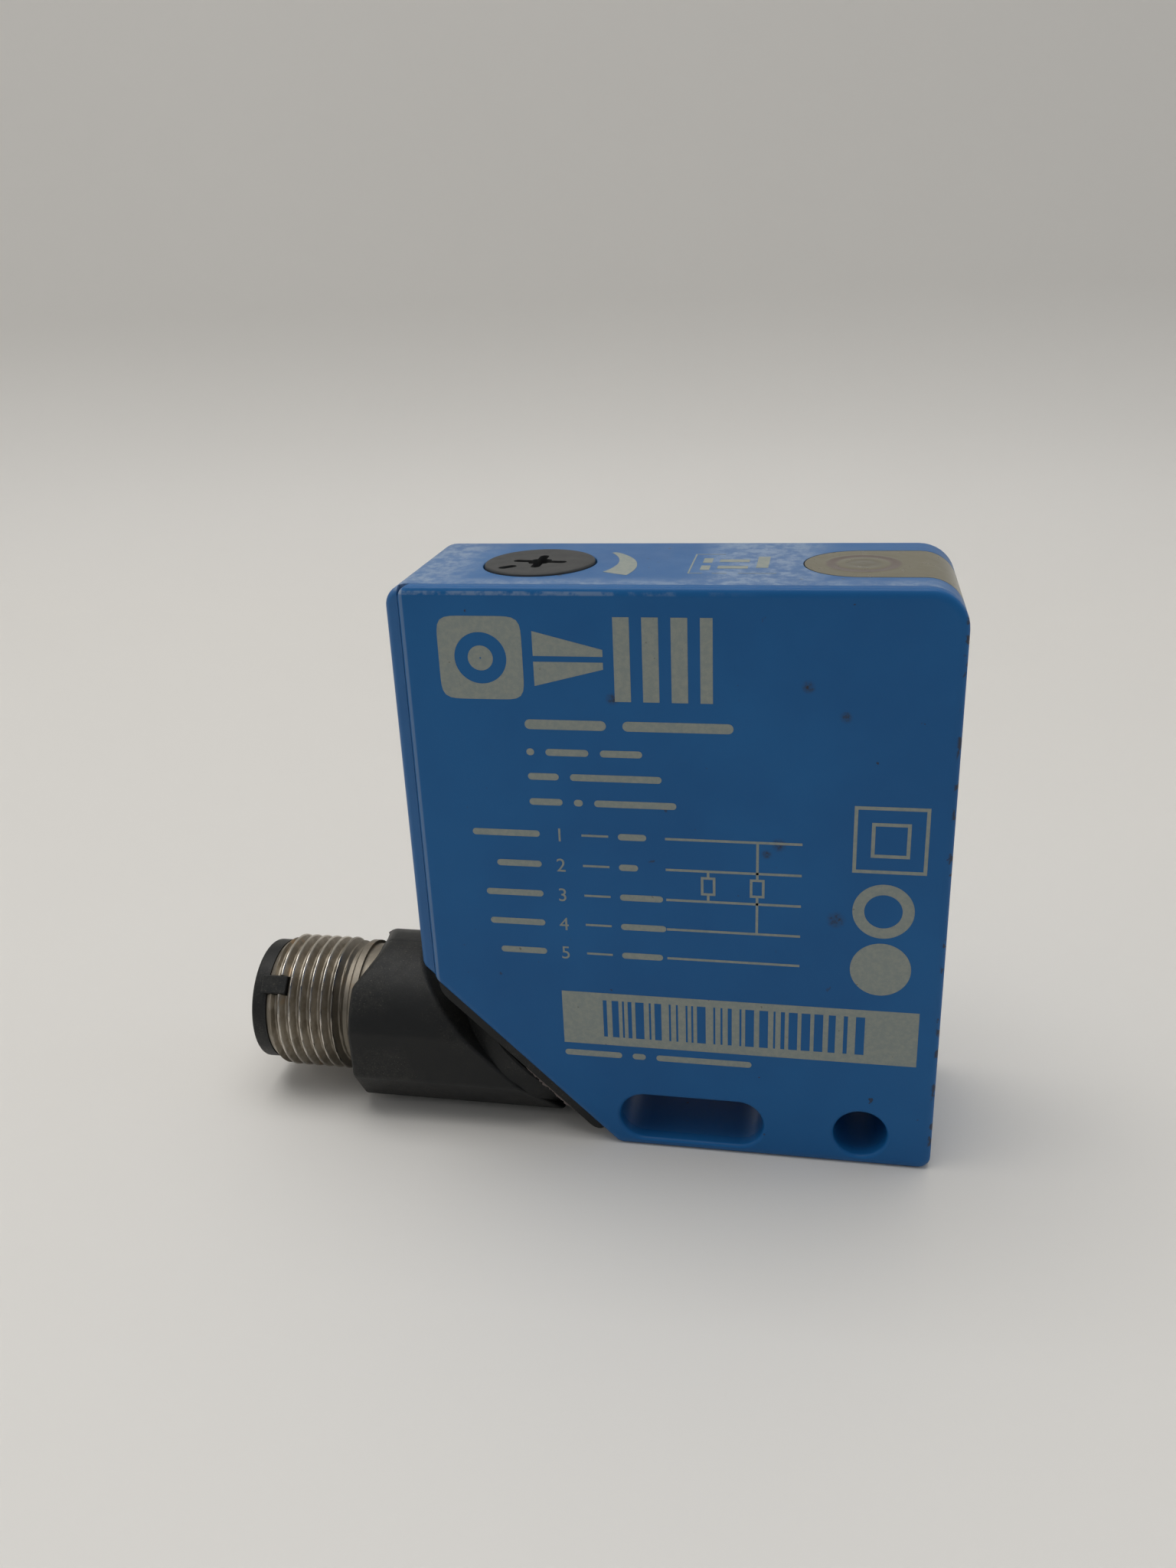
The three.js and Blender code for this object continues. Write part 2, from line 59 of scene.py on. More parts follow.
shellLow, shellHigh = boxMm("housing_shell")
coverLow, coverHigh = boxMm("front_cover")
windowLow, windowHigh = boxMm("display_window")
dialLow, dialHigh = boxMm("threshold_dial")
ringLow, ringHigh = boxMm("lens_ring")
elbowLow, elbowHigh = boxMm("elbow_body")
sleeveLow, sleeveHigh = boxMm("threaded_sleeve")
insertLow, insertHigh = boxMm("contact_insert")

joints = {joint["name"]: joint for joint in frame["joints"]}
swivelCentre = Vector(joints["plug_swivel"]["pos_m"]) / mm
swivelAxis = Vector(joints["plug_swivel"]["axis"]).normalized()
swivelUp = Vector((-swivelAxis.z, 0, swivelAxis.x))
cutSum = swivelCentre.x + swivelCentre.z  # x + z on the slanted face
plugZ = (sleeveLow.z + sleeveHigh.z) / 2
dialX = (dialLow.x + dialHigh.x) / 2
lensZ = (ringLow.z + ringHigh.z) / 2
windowLensX = (windowLow.x + windowHigh.x) / 2 - 1.45  # the moulded lens rings' centre
weldGap = 0.0005  # closer points become one


# Outlines are lists of (u, v) in millimetres, counter-clockwise.

def roundedOutline(corners, arcSteps=8):
    points = []
    for index, (u, v, radius) in enumerate(corners):
        corner = Vector((u, v))
        before = (Vector(corners[index - 1][:2]) - corner).normalized()
        after = (Vector(corners[(index + 1) % len(corners)][:2]) - corner).normalized()
        if radius == 0:
            points.append((u, v))
            continue
        half = before.angle(after) / 2
        centre = corner + (before + after).normalized() * radius / math.sin(half)
        start = corner + before * radius / math.tan(half) - centre
        sweep = math.pi - 2 * half
        if before.x * after.y - before.y * after.x > 0:
            sweep = -sweep
        for step in range(arcSteps + 1):
            turn = Matrix.Rotation(sweep * step / arcSteps, 2)
            points.append(tuple(centre + turn @ start))
    return points


def boxOutline(u0, v0, u1, v1):
    return [(u0, v0), (u1, v0), (u1, v1), (u0, v1)]


def circleOutline(u, v, radius, count=96):
    angles = [2 * math.pi * step / count for step in range(count)]
    return [(u + radius * math.cos(a), v + radius * math.sin(a)) for a in angles]


def stadiumOutline(u, v, length, width, arcSteps=24):
    halfLength, halfWidth = length / 2, width / 2
    corners = [(-1, -1), (1, -1), (1, 1), (-1, 1)]
    radius = halfWidth - 0.001
    return roundedOutline([(u + a * halfLength, v + b * halfWidth, radius) for a, b in corners], arcSteps)


def offsetOutline(points, distance):  # positive grows the outline
    if distance == 0:
        return list(points)
    moved = []
    for index, point in enumerate(points):
        here = Vector(point)
        before = (here - Vector(points[index - 1])).normalized()
        after = (Vector(points[(index + 1) % len(points)]) - here).normalized()
        first, second = Vector((before.y, -before.x)), Vector((after.y, -after.x))
        moved.append(tuple(here + (first + second) * distance / (1 + first.dot(second))))
    return moved


def acrossX(points, x):
    return [(x, u, v) for u, v in points]


def acrossY(points, y):
    return [(u, y, v) for u, v in points]


def acrossZ(points, z):
    return [(u, v, z) for u, v in points]


def acrossSwivel(points, height):  # u runs along Y, v up the slanted face
    middle = swivelCentre + swivelAxis * height
    return [tuple(middle + Vector((0, u, 0)) + swivelUp * v) for u, v in points]


# Meshes.

def addMesh(name, points, faces):
    mesh = bpy.data.meshes.new(name)
    mesh.from_pydata([Vector(point) * mm for point in points], [], faces)
    piece = bpy.data.objects.new(name, mesh)
    bpy.context.scene.collection.objects.link(piece)
    build = bmesh.new()
    build.from_mesh(mesh)
    bmesh.ops.recalc_face_normals(build, faces=build.faces)
    build.to_mesh(mesh)
    build.free()
    return piece


def loft(name, rings):  # a closed skin over rings of equal length
    count = len(rings[0])
    points = [point for ring in rings for point in ring]
    faces = [tuple(range(count)), tuple(range(len(points) - count, len(points)))]
    for level in range(len(rings) - 1):
        base = level * count
        for index in range(count):
            following = (index + 1) % count
            faces.append((base + index, base + following, base + count + following, base + count + index))
    return addMesh(name, points, faces)


def slab(name, outline, place, low, high, lowRim=0, highRim=0, rimSteps=5, rimSlope=1.0):
    # A positive rim rounds an end inwards and a negative one flares it; rimSlope is its depth over its width.
    rings = []
    for level, sign, rim in ((low, 1, lowRim), (high, -1, highRim)):
        steps = rimSteps if rim else 0
        end = []
        for step in range(steps + 1):
            angle = math.pi / 2 * (step / steps if steps else 1)
            inset = rim * (1 - math.sin(angle))
            height = level + sign * abs(rim) * rimSlope * (1 - math.cos(angle))
            end.append(place(offsetOutline(outline, -inset), height))
        if rim < 0:
            end.insert(0, place(offsetOutline(outline, -rim), level - sign))
        rings += end if sign > 0 else end[::-1]
    return loft(name, rings)


def turned(name, profile, origin, axis, segments=96):
    # profile is (radius, height) pairs from axis to axis, or a closed loop
    side = axis.orthogonal().normalized()
    other = axis.cross(side)
    points, rings, faces = [], [], []
    for radius, height in profile:
        middle = origin + axis * height
        if radius == 0:
            rings.append([len(points)] * segments)
            points.append(middle)
            continue
        rings.append(list(range(len(points), len(points) + segments)))
        for index in range(segments):
            angle = 2 * math.pi * index / segments
            points.append(middle + (side * math.cos(angle) + other * math.sin(angle)) * radius)
    pairs = list(zip(rings, rings[1:]))
    if profile[0][0] > 0:
        pairs.append((rings[-1], rings[0]))
    for lower, upper in pairs:
        for index in range(segments):
            following = (index + 1) % segments
            corners = [lower[index], lower[following], upper[following], upper[index]]
            faces.append(tuple(dict.fromkeys(corners)))
    return addMesh(name, points, [face for face in faces if len(face) > 2])


def turnedCorner(radius, height, size, quadrant, steps=4):
    # quadrant is the starting angle of the corner's arc, in degrees
    angles = [math.radians(quadrant + 90 * step / steps) for step in range(steps + 1)]
    return [(radius + size * math.cos(a), height + size * math.sin(a)) for a in angles]


def applyModifiers(piece):
    graph = bpy.context.evaluated_depsgraph_get()
    result = bpy.data.meshes.new_from_object(piece.evaluated_get(graph))
    piece.modifiers.clear()
    spent = piece.data
    piece.data = result
    bpy.data.meshes.remove(spent)


def combine(piece, operation, *tools):
    for tool in tools:
        modifier = piece.modifiers.new("cut", "BOOLEAN")
        modifier.operation = operation
        modifier.solver = "EXACT"
        modifier.object = tool
        applyModifiers(piece)
        bpy.data.objects.remove(tool)
    return piece


def soften(piece, width, angle=50, segments=2):
    modifier = piece.modifiers.new("soften", "BEVEL")
    modifier.width = width * mm
    modifier.segments = segments
    modifier.limit_method = "ANGLE"
    modifier.angle_limit = math.radians(angle)
    modifier.use_clamp_overlap = True
    applyModifiers(piece)
    return piece


def shade(piece, angle=32):
    build = bmesh.new()
    build.from_mesh(piece.data)
    bmesh.ops.remove_doubles(build, verts=build.verts, dist=weldGap * mm)
    bmesh.ops.dissolve_degenerate(build, dist=weldGap * mm, edges=build.edges)
    for face in build.faces:
        face.smooth = True
    for edge in build.edges:
        sharp = len(edge.link_faces) == 2 and edge.calc_face_angle() > math.radians(angle)
        edge.smooth = not sharp
    build.to_mesh(piece.data)
    build.free()
    modifier = piece.modifiers.new("weigh", "WEIGHTED_NORMAL")
    modifier.keep_sharp = True
    modifier.weight = 60
    applyModifiers(piece)
    return piece


# Finishes: a socket that takes part in sums, and a material that adds nodes.

class Wire:
    def __init__(self, finish, socket):
        self.finish = finish
        self.socket = socket

    def sum(self, operation, first, second):
        return self.finish.add("ShaderNodeMath", {"operation": operation}, {0: first, 1: second})

    def __add__(self, other):
        return self.sum("ADD", self, other)

    def __sub__(self, other):
        return self.sum("SUBTRACT", self, other)

    def __rsub__(self, other):
        return self.sum("SUBTRACT", other, self)

    def __mul__(self, other):
        return self.sum("MULTIPLY", self, other)

    def __pow__(self, other):
        return self.sum("POWER", self, other)

    __radd__ = __add__
    __rmul__ = __mul__


class Finish:
    def __init__(self, name, **fixed):
        self.material = bpy.data.materials.new(name)
        self.material.use_nodes = True
        self.tree = self.material.node_tree
        self.surface = self.tree.nodes["Principled BSDF"]
        for socket, value in fixed.items():
            self.surface.inputs[socket.replace("_", " ")].default_value = value
        self.place = self.add("ShaderNodeTexCoord", output="Object")
        split = self.add("ShaderNodeSeparateXYZ", sockets={0: self.place})
        self.x, self.y, self.z = [Wire(self, out) * (1 / mm) for out in split.socket.node.outputs]

    def add(self, kind, settings=None, sockets=None, output=0):
        node = self.tree.nodes.new(kind)
        for key, value in (settings or {}).items():
            setattr(node, key, value)
        for key, value in (sockets or {}).items():
            self.plug(node.inputs[key], value)
        return Wire(self, node.outputs[output])

    def plug(self, socket, value):
        if isinstance(value, Wire):
            self.tree.links.new(value.socket, socket)
        else:
            socket.default_value = value

    def noise(self, perMm, detail=3, roughness=0.5):
        sockets = {"Vector": self.place, "Scale": perMm / mm, "Detail": detail, "Roughness": roughness}
        return self.add("ShaderNodeTexNoise", sockets=sockets)

    def step(self, value, low, high):  # 0 below low, 1 above high
        sockets = {"Value": value, "From Min": low, "From Max": high}
        return self.add("ShaderNodeMapRange", {"interpolation_type": "SMOOTHSTEP"}, sockets)

    def near(self, value, middle, reach):  # 1 at the middle, 0 beyond reach
        away = self.add("ShaderNodeMath", {"operation": "ABSOLUTE"}, {0: value - middle})
        return 1 - self.step(away, reach * 0.4, reach)

    def mix(self, factor, first, second):
        first = first if isinstance(first, Wire) else (*first, 1)
        second = second if isinstance(second, Wire) else (*second, 1)
        sockets = {0: factor, 6: first, 7: second}
        return self.add("ShaderNodeMix", {"data_type": "RGBA"}, sockets, output=2)

    def larger(self, first, second):
        return self.add("ShaderNodeMath", {"operation": "MAXIMUM"}, {0: first, 1: second})

    def bump(self, height, depthMm):
        sockets = {"Strength": 1, "Distance": depthMm * mm, "Height": height}
        return self.add("ShaderNodeBump", sockets=sockets)

    def set(self, **links):
        for socket, value in links.items():
            self.plug(self.surface.inputs[socket.replace("_", " ")], value)


enamelLook = {
    "blue": (0.010, 0.120, 0.335),
    "shade": (0.008, 0.103, 0.300),
    # Pale scuff colour: real wear on the shell's top face, and on the cover's edges also a painted highlight.
    "scuffAndHighlight": (0.420, 0.490, 0.560),
    "dirt": (0.034, 0.028, 0.022),
    "roughness": 0.40,
    "peelDepth": 0.007,
    "shellGloss": 0.5,
    "coverGloss": 0.24,
    "scuffAmount": 0.5,
    "smudges": [  # x, z and reach on the cover
        (8.3, 28.9, 0.55),
        (7.4, 28.1, 0.4),
        (10.2, 41.4, 0.5),
        (12.9, 39.2, 0.45),
        (12.7, 22.8, 0.7),
        (-4.0, 40.2, 0.5),
    ],
}


def enamelBase(name, gloss):
    look = enamelLook
    finish = Finish(name, Specular_IOR_Level=gloss)
    cloud = finish.noise(0.09, 4)
    color = finish.mix(finish.step(cloud, 0.3, 0.7), look["shade"], look["blue"])
    specks = finish.step(finish.noise(1.1, 2), 0.735, 0.76) * finish.step(finish.noise(0.12, 2), 0.45, 0.6)
    color = finish.mix(specks * 0.8, color, look["dirt"])
    peel = finish.noise(3.2, 2) * 0.6 + finish.noise(9, 3) * 0.4
    roughness = finish.noise(0.5, 5) * 0.16 + (look["roughness"] - 0.08)
    return finish, color, roughness, finish.bump(peel, look["peelDepth"])


def shellFinish():
    finish, color, roughness, normal = enamelBase("blue_enamel_shell", enamelLook["shellGloss"])
    top = finish.step(finish.z, shellHigh.z - 0.6, shellHigh.z - 0.1)
    leftEnd = finish.step(-1 * finish.x, 13.5, 18)
    windowEnd = finish.near(finish.x, 6.5, 6)
    frontEdge = finish.step(-1 * finish.y, 4.0, 6.4)
    scratches = finish.step(finish.noise(0.9, 8, 0.78), 0.42, 0.60)
    worn = finish.larger(leftEnd, windowEnd)
    worn = finish.larger(worn, frontEdge * 0.8)
    scuffed = (scratches * 0.75 + 0.25) * worn * top
    color = finish.mix(scuffed * enamelLook["scuffAmount"], color, enamelLook["scuffAndHighlight"])
    finish.set(Base_Color=color, Roughness=roughness + scuffed * 0.18, Normal=normal)
    return finish.material


def coverFinish():
    look = enamelLook
    finish, color, roughness, normal = enamelBase("blue_enamel_cover", look["coverGloss"])
    rim = finish.step(-1 * finish.y, -coverLow.y - 0.42, -coverLow.y - 0.05)
    # Painted highlight: the top edge band gets the pale colour in broken dashes, a painted highlight on the edge
    # fillet mixed with worn paint. The left edge band gets it evenly, a painted highlight of the rounded rim.
    topEdge = finish.near(finish.z, coverHigh.z - 0.42, 0.2)
    leftEdgeHighlight = finish.near(finish.x, coverLow.x + 0.3, 0.2)
    broken = finish.step(finish.noise(0.45, 4, 0.7), 0.42, 0.58)
    worn = (1 - finish.step(finish.x, -8, 8)) * broken
    edgeWearAndHighlight = (topEdge * 0.45 * worn + leftEdgeHighlight * 0.3) * (1 - rim * 0.3)
    color = finish.mix(edgeWearAndHighlight, color, look["scuffAndHighlight"])
    speckle = finish.step(finish.noise(3.5, 5, 0.8), 0.46, 0.6)
    for x, z, reach in look["smudges"]:
        away = ((finish.x - x) ** 2 + (finish.z - z) ** 2) ** 0.5
        blot = 1 - finish.step(away, reach * 0.2, reach * 1.25)
        color = finish.mix(blot * (speckle * 0.55 + 0.35), color, look["dirt"])
    frontRim = finish.step(-1 * finish.y, -coverLow.y - 0.9, -coverLow.y - 0.3)
    chips = finish.step(finish.noise(1.1, 3), 0.57, 0.61) * finish.near(finish.x, coverHigh.x, 0.42)
    color = finish.mix(chips * frontRim * 0.8, color, look["dirt"])
    finish.set(Base_Color=color, Roughness=roughness, Normal=normal)
    return finish.material


plasticLook = {"gloss": 0.28, "haze": (0.120, 0.112, 0.092), "lint": (0.130, 0.122, 0.100)}


def plasticFinish(name, color, roughness=0.5, grainDepth=0.012, dust=0.0):
    look = plasticLook
    finish = Finish(name, Specular_IOR_Level=look["gloss"])
    grain = finish.noise(4.5, 3) * 0.7 + finish.noise(12, 2) * 0.3
    shade = finish.mix(finish.noise(0.2, 3), [c * 0.8 for c in color], [c * 1.2 for c in color])
    patch = finish.step(finish.noise(0.16, 2), 0.40, 0.60)
    lint = finish.step(finish.noise(7.5, 4, 0.7), 0.56, 0.72) * patch
    haze = finish.step(finish.noise(1.4, 6, 0.8), 0.38, 0.70) * patch
    shade = finish.mix(haze * (dust * 0.20), shade, look["haze"])
    shade = finish.mix(lint * dust, shade, look["lint"])
    finish.set(
        Base_Color=shade,
        Roughness=finish.noise(0.8, 4) * 0.2 + (roughness - 0.1),
        Normal=finish.bump(grain, grainDepth),
    )
    return finish.material


nickelLook = {
    "plateDull": (0.50, 0.46, 0.40),
    "plate": (0.66, 0.62, 0.56),
    # grime and valley colour the thread's roots: grime, and darker than the plate as painted shade.
    "grime": (0.260, 0.230, 0.185),
    "valley": (0.400, 0.360, 0.300),
    "bareBrass": (0.46, 0.28, 0.12),
    # shoulder is a painted shade colour for the sleeve's end by the elbow.
    "shoulder": (0.20, 0.18, 0.15),
}


def nickelFinish():
    look = nickelLook
    finish = Finish("nickel_plate", Metallic=1.0)
    radius = (finish.y ** 2 + (finish.z - plugZ) ** 2) ** 0.5
    # Painted highlight and shade: the crests get the lighter plate colour, and the roots get darker colours that
    # paint both grime and shade.
    crest = finish.step(radius, 5.84, 5.96)
    grime = finish.step(finish.noise(0.5, 5, 0.65), 0.38, 0.64)
    plate = finish.mix(finish.noise(0.3, 3), look["plateDull"], look["plate"])
    rootGrimeAndShade = finish.mix(grime, look["grime"], look["valley"])
    brass = finish.step(finish.noise(0.35, 2), 0.60, 0.68)
    rootGrimeAndShade = finish.mix(brass * 0.5, rootGrimeAndShade, look["bareBrass"])
    color = finish.mix(crest, rootGrimeAndShade, plate)
    # Painted shade: the sleeve darkens towards the elbow, where its undercut lies in shadow.
    shoulder = finish.step(finish.x, sleeveHigh.x - 4.6, sleeveHigh.x - 4.0)
    color = finish.mix(shoulder * 0.65, color, look["shoulder"])
    roughness = (1 - crest) * 0.30 + finish.noise(1.5, 4) * 0.16 + 0.14
    finish.set(Base_Color=color, Roughness=roughness, Normal=finish.bump(finish.noise(6, 3), 0.004))
    return finish.material


def metalFinish(name, color, roughness=0.3):
    finish = Finish(name, Metallic=1.0)
    tint = finish.mix(finish.noise(0.8, 4), [c * 0.85 for c in color], color)
    finish.set(
        Base_Color=tint,
        Roughness=finish.noise(2, 4) * 0.2 + (roughness - 0.1),
        Normal=finish.bump(finish.noise(7, 3), 0.002),
    )
    return finish.material


windowLook = {
    "body": (0.112, 0.096, 0.040),
    "bodyLight": (0.142, 0.124, 0.056),
    "ring": (0.070, 0.032, 0.022),
    "disc": (0.075, 0.066, 0.044),
    "rippleDepth": 0.02,
}


def windowFinish():
    look = windowLook
    finish = Finish("amber_window", Coat_Weight=0.3, Coat_Roughness=0.15, IOR=1.58, Transmission_Weight=0.25)
    radius = ((finish.x - windowLensX) ** 2 + finish.y ** 2) ** 0.5
    disc = 1 - finish.step(radius, 1.15, 1.5)
    ring = finish.near(radius, 2.35, 0.55)
    body = finish.mix(finish.noise(0.25, 3), look["body"], look["bodyLight"])
    color = finish.mix(ring * 0.9, body, look["ring"])
    color = finish.mix(disc * 0.5, color, look["disc"])
    ripple = finish.add("ShaderNodeMath", {"operation": "SINE"}, {0: radius * 5.2})
    lens = 1 - finish.step(radius, 2.7, 3.1)
    finish.set(
        Base_Color=color,
        Roughness=finish.noise(0.9, 4) * 0.15 + 0.22,
        Normal=finish.bump(ripple * lens, look["rippleDepth"]),
    )
    return finish.material


inkLook = {"full": (0.300, 0.322, 0.288), "thin": (0.245, 0.284, 0.268), "mark": (0.07, 0.065, 0.055)}


def inkFinish():
    look = inkLook
    finish = Finish("pale_ink", Specular_IOR_Level=0.4)
    covered = finish.step(finish.noise(2.2, 5, 0.7), 0.36, 0.66)
    color = finish.mix(covered, look["thin"], look["full"])
    marks = finish.step(finish.noise(1.9, 3), 0.71, 0.75)
    color = finish.mix(marks * 0.6, color, look["mark"])
    finish.set(
        Base_Color=color,
        Roughness=finish.noise(1.1, 3) * 0.15 + 0.5,
        Normal=finish.bump(finish.noise(6, 2), 0.004),
    )
    return finish.material


def glassFinish(name, color):
    finish = Finish(name, Transmission_Weight=0.9, IOR=1.49)
    tint = finish.mix(finish.noise(0.3, 2), [c * 0.94 for c in color], color)
    finish.set(Base_Color=tint, Roughness=finish.noise(0.6, 3) * 0.05 + 0.02)
    return finish.material


def boardFinish():
    finish = Finish("green_solder_mask", Coat_Weight=0.4, Coat_Roughness=0.15)
    sockets = {"Vector": finish.place, "Scale": 220.0}
    tracks = finish.add("ShaderNodeTexWave", {"bands_direction": "DIAGONAL"}, sockets)
    copper = finish.step(tracks, 0.80, 0.86)
    color = finish.mix(copper, (0.010, 0.095, 0.040), (0.035, 0.180, 0.070))
    finish.set(
        Base_Color=color,
        Roughness=finish.noise(1, 3) * 0.15 + 0.3,
        Normal=finish.bump(copper + finish.noise(5, 2) * 0.2, 0.02),
    )
    return finish.material


finishes = {
    "black_plastic": plasticFinish("black_moulding", (0.0105, 0.0115, 0.0120), 0.50, 0.014, 0.6),
    "rubber_seal": plasticFinish("black_nitrile", (0.018, 0.018, 0.019), 0.8, 0.006),
    "amber_window": windowFinish(),
    "clear_plastic": glassFinish("clear_acrylic", (0.93, 0.95, 0.96)),
    "nickel_plated_brass": nickelFinish(),
    "gold_plated_brass": metalFinish("gold_plate", (0.83, 0.60, 0.28), 0.24),
    "spring_steel": metalFinish("spring_steel_strip", (0.50, 0.50, 0.50), 0.32),
    "circuit_board": boardFinish(),
    "chip_plastic": plasticFinish("chip_moulding", (0.022, 0.022, 0.024), 0.45, 0.004),
    "capacitor_can": metalFinish("drawn_can", (0.62, 0.62, 0.64), 0.35),
    "pale_plastic": plasticFinish("pale_moulding", (0.55, 0.46, 0.30), 0.45, 0.004),
    "lead_grey": plasticFinish("grey_insulation", (0.25, 0.25, 0.26), 0.5, 0.004),
    "lead_brown": plasticFinish("brown_insulation", (0.12, 0.05, 0.02), 0.5, 0.004),
    "lead_white": plasticFinish("white_insulation", (0.75, 0.75, 0.73), 0.5, 0.004),
    "lead_blue": plasticFinish("blue_insulation", (0.02, 0.09, 0.35), 0.5, 0.004),
    "lead_black": plasticFinish("black_insulation", (0.012, 0.012, 0.012), 0.5, 0.004),
}
shellMaterial = shellFinish()
coverMaterial = coverFinish()
inkMaterial = inkFinish()
finishes["blue_enamel"] = shellMaterial

for row in frame["record"]["subparts"]:
    node = frame["nodes"][row["node"]]
    node.data.materials.clear()
    node.data.materials.append(finishes[row["material_slot"]])
print("finishes made")


def settle(piece, body, slotName, *replaced, material=None):
    piece.data.materials.clear()
    piece.data.materials.append(material or finishes[slotName])
    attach(piece, body)
    if replaced:
        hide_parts(*replaced)
    return piece


# Housing shell and cover.

housingForm = {
    "wall": 1.8,
    "backRim": 0.85,
    "lipRim": 0.5,
    "coverRim": 0.72,
    "coverRimSlope": 0.58,
    "seam": 0.02,
    "sideGap": 0.04,
    "topRight": 2.9,
    "topLeft": 1.6,
    "bottomRight": 1.0,
    "cutCorner": 1.0,
    "holeRim": 0.35,
    "openingRim": 0.12,
    "bossWall": 1.2,
    "windowGap": 0.09,
    "dialGap": 0.1,
    "ringGap": 0.06,
}
slotForm = {"x": 1.4, "z": 2.95, "length": 12.0, "width": 4.3}
holeForm = {"x": 15.3, "z": 2.95, "radius": 2.15}
windowThickness = 1.5
clear = 2.0  # how far a cutter runs past what it cuts


def shellOutline(inset=0.0, grow=0.0):
    form = housingForm
    left, right, top = shellLow.x + inset, shellHigh.x - inset, shellHigh.z - inset
    total = cutSum + inset * math.sqrt(2)
    radius = lambda size: max(size - inset, 0.3)
    corners = [
        (total - inset, inset, radius(form["cutCorner"])),
        (right, inset, radius(form["bottomRight"])),
        (right, top, radius(form["topRight"])),
        (left, top, radius(form["topLeft"])),
        (left, total - left, radius(form["cutCorner"])),
    ]
    return offsetOutline(roundedOutline(corners, 10), grow)


def screwOutlines(grow=0.0):
    slotShape = stadiumOutline(slotForm["x"], slotForm["z"], slotForm["length"], slotForm["width"])
    holeShape = circleOutline(holeForm["x"], holeForm["z"], holeForm["radius"])
    return [offsetOutline(shape, grow) for shape in (slotShape, holeShape)]


def screwCutters(front, back, frontRim, backRim):
    return [slab("cutter", shape, acrossY, front, back, frontRim, backRim, 6) for shape in screwOutlines()]


def windowForm(name, grow, proud):
    depth = windowThickness + grow
    halfWidth = windowHigh.y + grow
    band = slab(name, shellOutline(grow=proud), acrossY, -halfWidth, halfWidth)
    inner = slab("cutter", shellOutline(depth), acrossY, -halfWidth - 2, halfWidth + 2)
    tip = windowLow.x - grow
    far = windowHigh.x + 3
    plan = roundedOutline(
        [
            (tip, -halfWidth, halfWidth - 0.001),
            (far, -halfWidth, 0),
            (far, halfWidth, 0),
            (tip, halfWidth, halfWidth - 0.001),
        ],
        24,
    )
    mask = slab("cutter", plan, acrossZ, windowLow.z - grow, shellHigh.z + 3)
    return combine(combine(band, "DIFFERENCE", inner), "INTERSECT", mask)


def makeShell():
    form = housingForm
    front, back = shellLow.y, shellHigh.y
    shell = slab("housing_casting", shellOutline(), acrossY, front, back, form["lipRim"], form["backRim"])
    seatFace = coverHigh.y + form["seam"]
    seatShape = boxOutline(coverLow.x - form["sideGap"], -clear, 30, 60)
    seat = slab("cutter", seatShape, acrossY, coverLow.y - clear, seatFace)
    cavity = slab("cutter", shellOutline(form["wall"]), acrossY, coverLow.y - 1, shellHigh.y - form["wall"])
    for boss in screwOutlines(form["bossWall"]):
        combine(cavity, "DIFFERENCE", slab("cutter", boss, acrossY, seatFace, shellHigh.y))
    openings = screwCutters(coverLow.y - clear, shellHigh.y, 0, -form["holeRim"])
    openings.append(windowForm("cutter", form["windowGap"], 1.0))
    dialShape = circleOutline(dialX, 0, dialHigh.x - dialX + form["dialGap"])
    openings.append(slab("cutter", dialShape, acrossZ, 44, shellHigh.z, 0, -form["openingRim"]))
    lensShape = circleOutline(0, lensZ, ringHigh.y - 0.4)
    openings.append(slab("cutter", lensShape, acrossX, 16, 22))
    ringShape = circleOutline(0, lensZ, ringHigh.y + form["ringGap"])
    openings.append(slab("cutter", ringShape, acrossX, ringLow.x - 0.1, ringHigh.x, 0, -form["openingRim"]))
    openings.append(slab("cutter", circleOutline(0, 0, 5.5), acrossSwivel, -2, 6))
    combine(shell, "DIFFERENCE", seat, cavity, *openings)
    shade(shell)
    settle(shell, "housing", "blue_enamel", "housing_shell", material=shellMaterial)


def makeCover():
    form = housingForm
    corners = [
        (cutSum, 0, form["cutCorner"]),
        (coverHigh.x, 0, form["bottomRight"]),
        (coverHigh.x, coverHigh.z, form["topRight"]),
        (coverLow.x, coverHigh.z, 0.9),
        (coverLow.x, cutSum - coverLow.x, form["cutCorner"]),
    ]
    outline = roundedOutline(corners, 10)
    front, back = coverLow.y, coverHigh.y
    cover = slab("cover_plate", outline, acrossY, front, back, form["coverRim"], 0, 7, form["coverRimSlope"])
    combine(cover, "DIFFERENCE", *screwCutters(front, back + clear, -form["holeRim"], 0))
    shade(cover)
    settle(cover, "housing", "blue_enamel", "front_cover", material=coverMaterial)


def makeWindow():
    pane = windowForm("window_pane", 0.0, 0.0)
    soften(pane, 0.1)
    shade(pane)
    settle(pane, "housing", "amber_window", "display_window")


makeShell()
makeCover()
makeWindow()
print("housing, cover and window made")


# Printed marks: thin ink solids on a face.

inkThickness = 0.012


def settleInk(name, build):
    bmesh.ops.recalc_face_normals(build, faces=build.faces)
    mesh = bpy.data.meshes.new(name)
    build.to_mesh(mesh)
    build.free()
    piece = bpy.data.objects.new(name, mesh)
    bpy.context.scene.collection.objects.link(piece)
    settle(piece, "housing", "blue_enamel", material=inkMaterial)


def inkSolid(name, shapes, place, surface, outward):
    build = bmesh.new()
    for shape in shapes:
        lower = [build.verts.new(Vector(p) * mm) for p in place(shape, surface - outward * 0.01)]
        upper = [build.verts.new(Vector(p) * mm) for p in place(shape, surface + outward * inkThickness)]
        build.faces.new(lower)
        build.faces.new(upper)
        for index in range(len(shape)):
            following = (index + 1) % len(shape)
            build.faces.new((lower[index], lower[following], upper[following], upper[index]))
    settleInk(name, build)


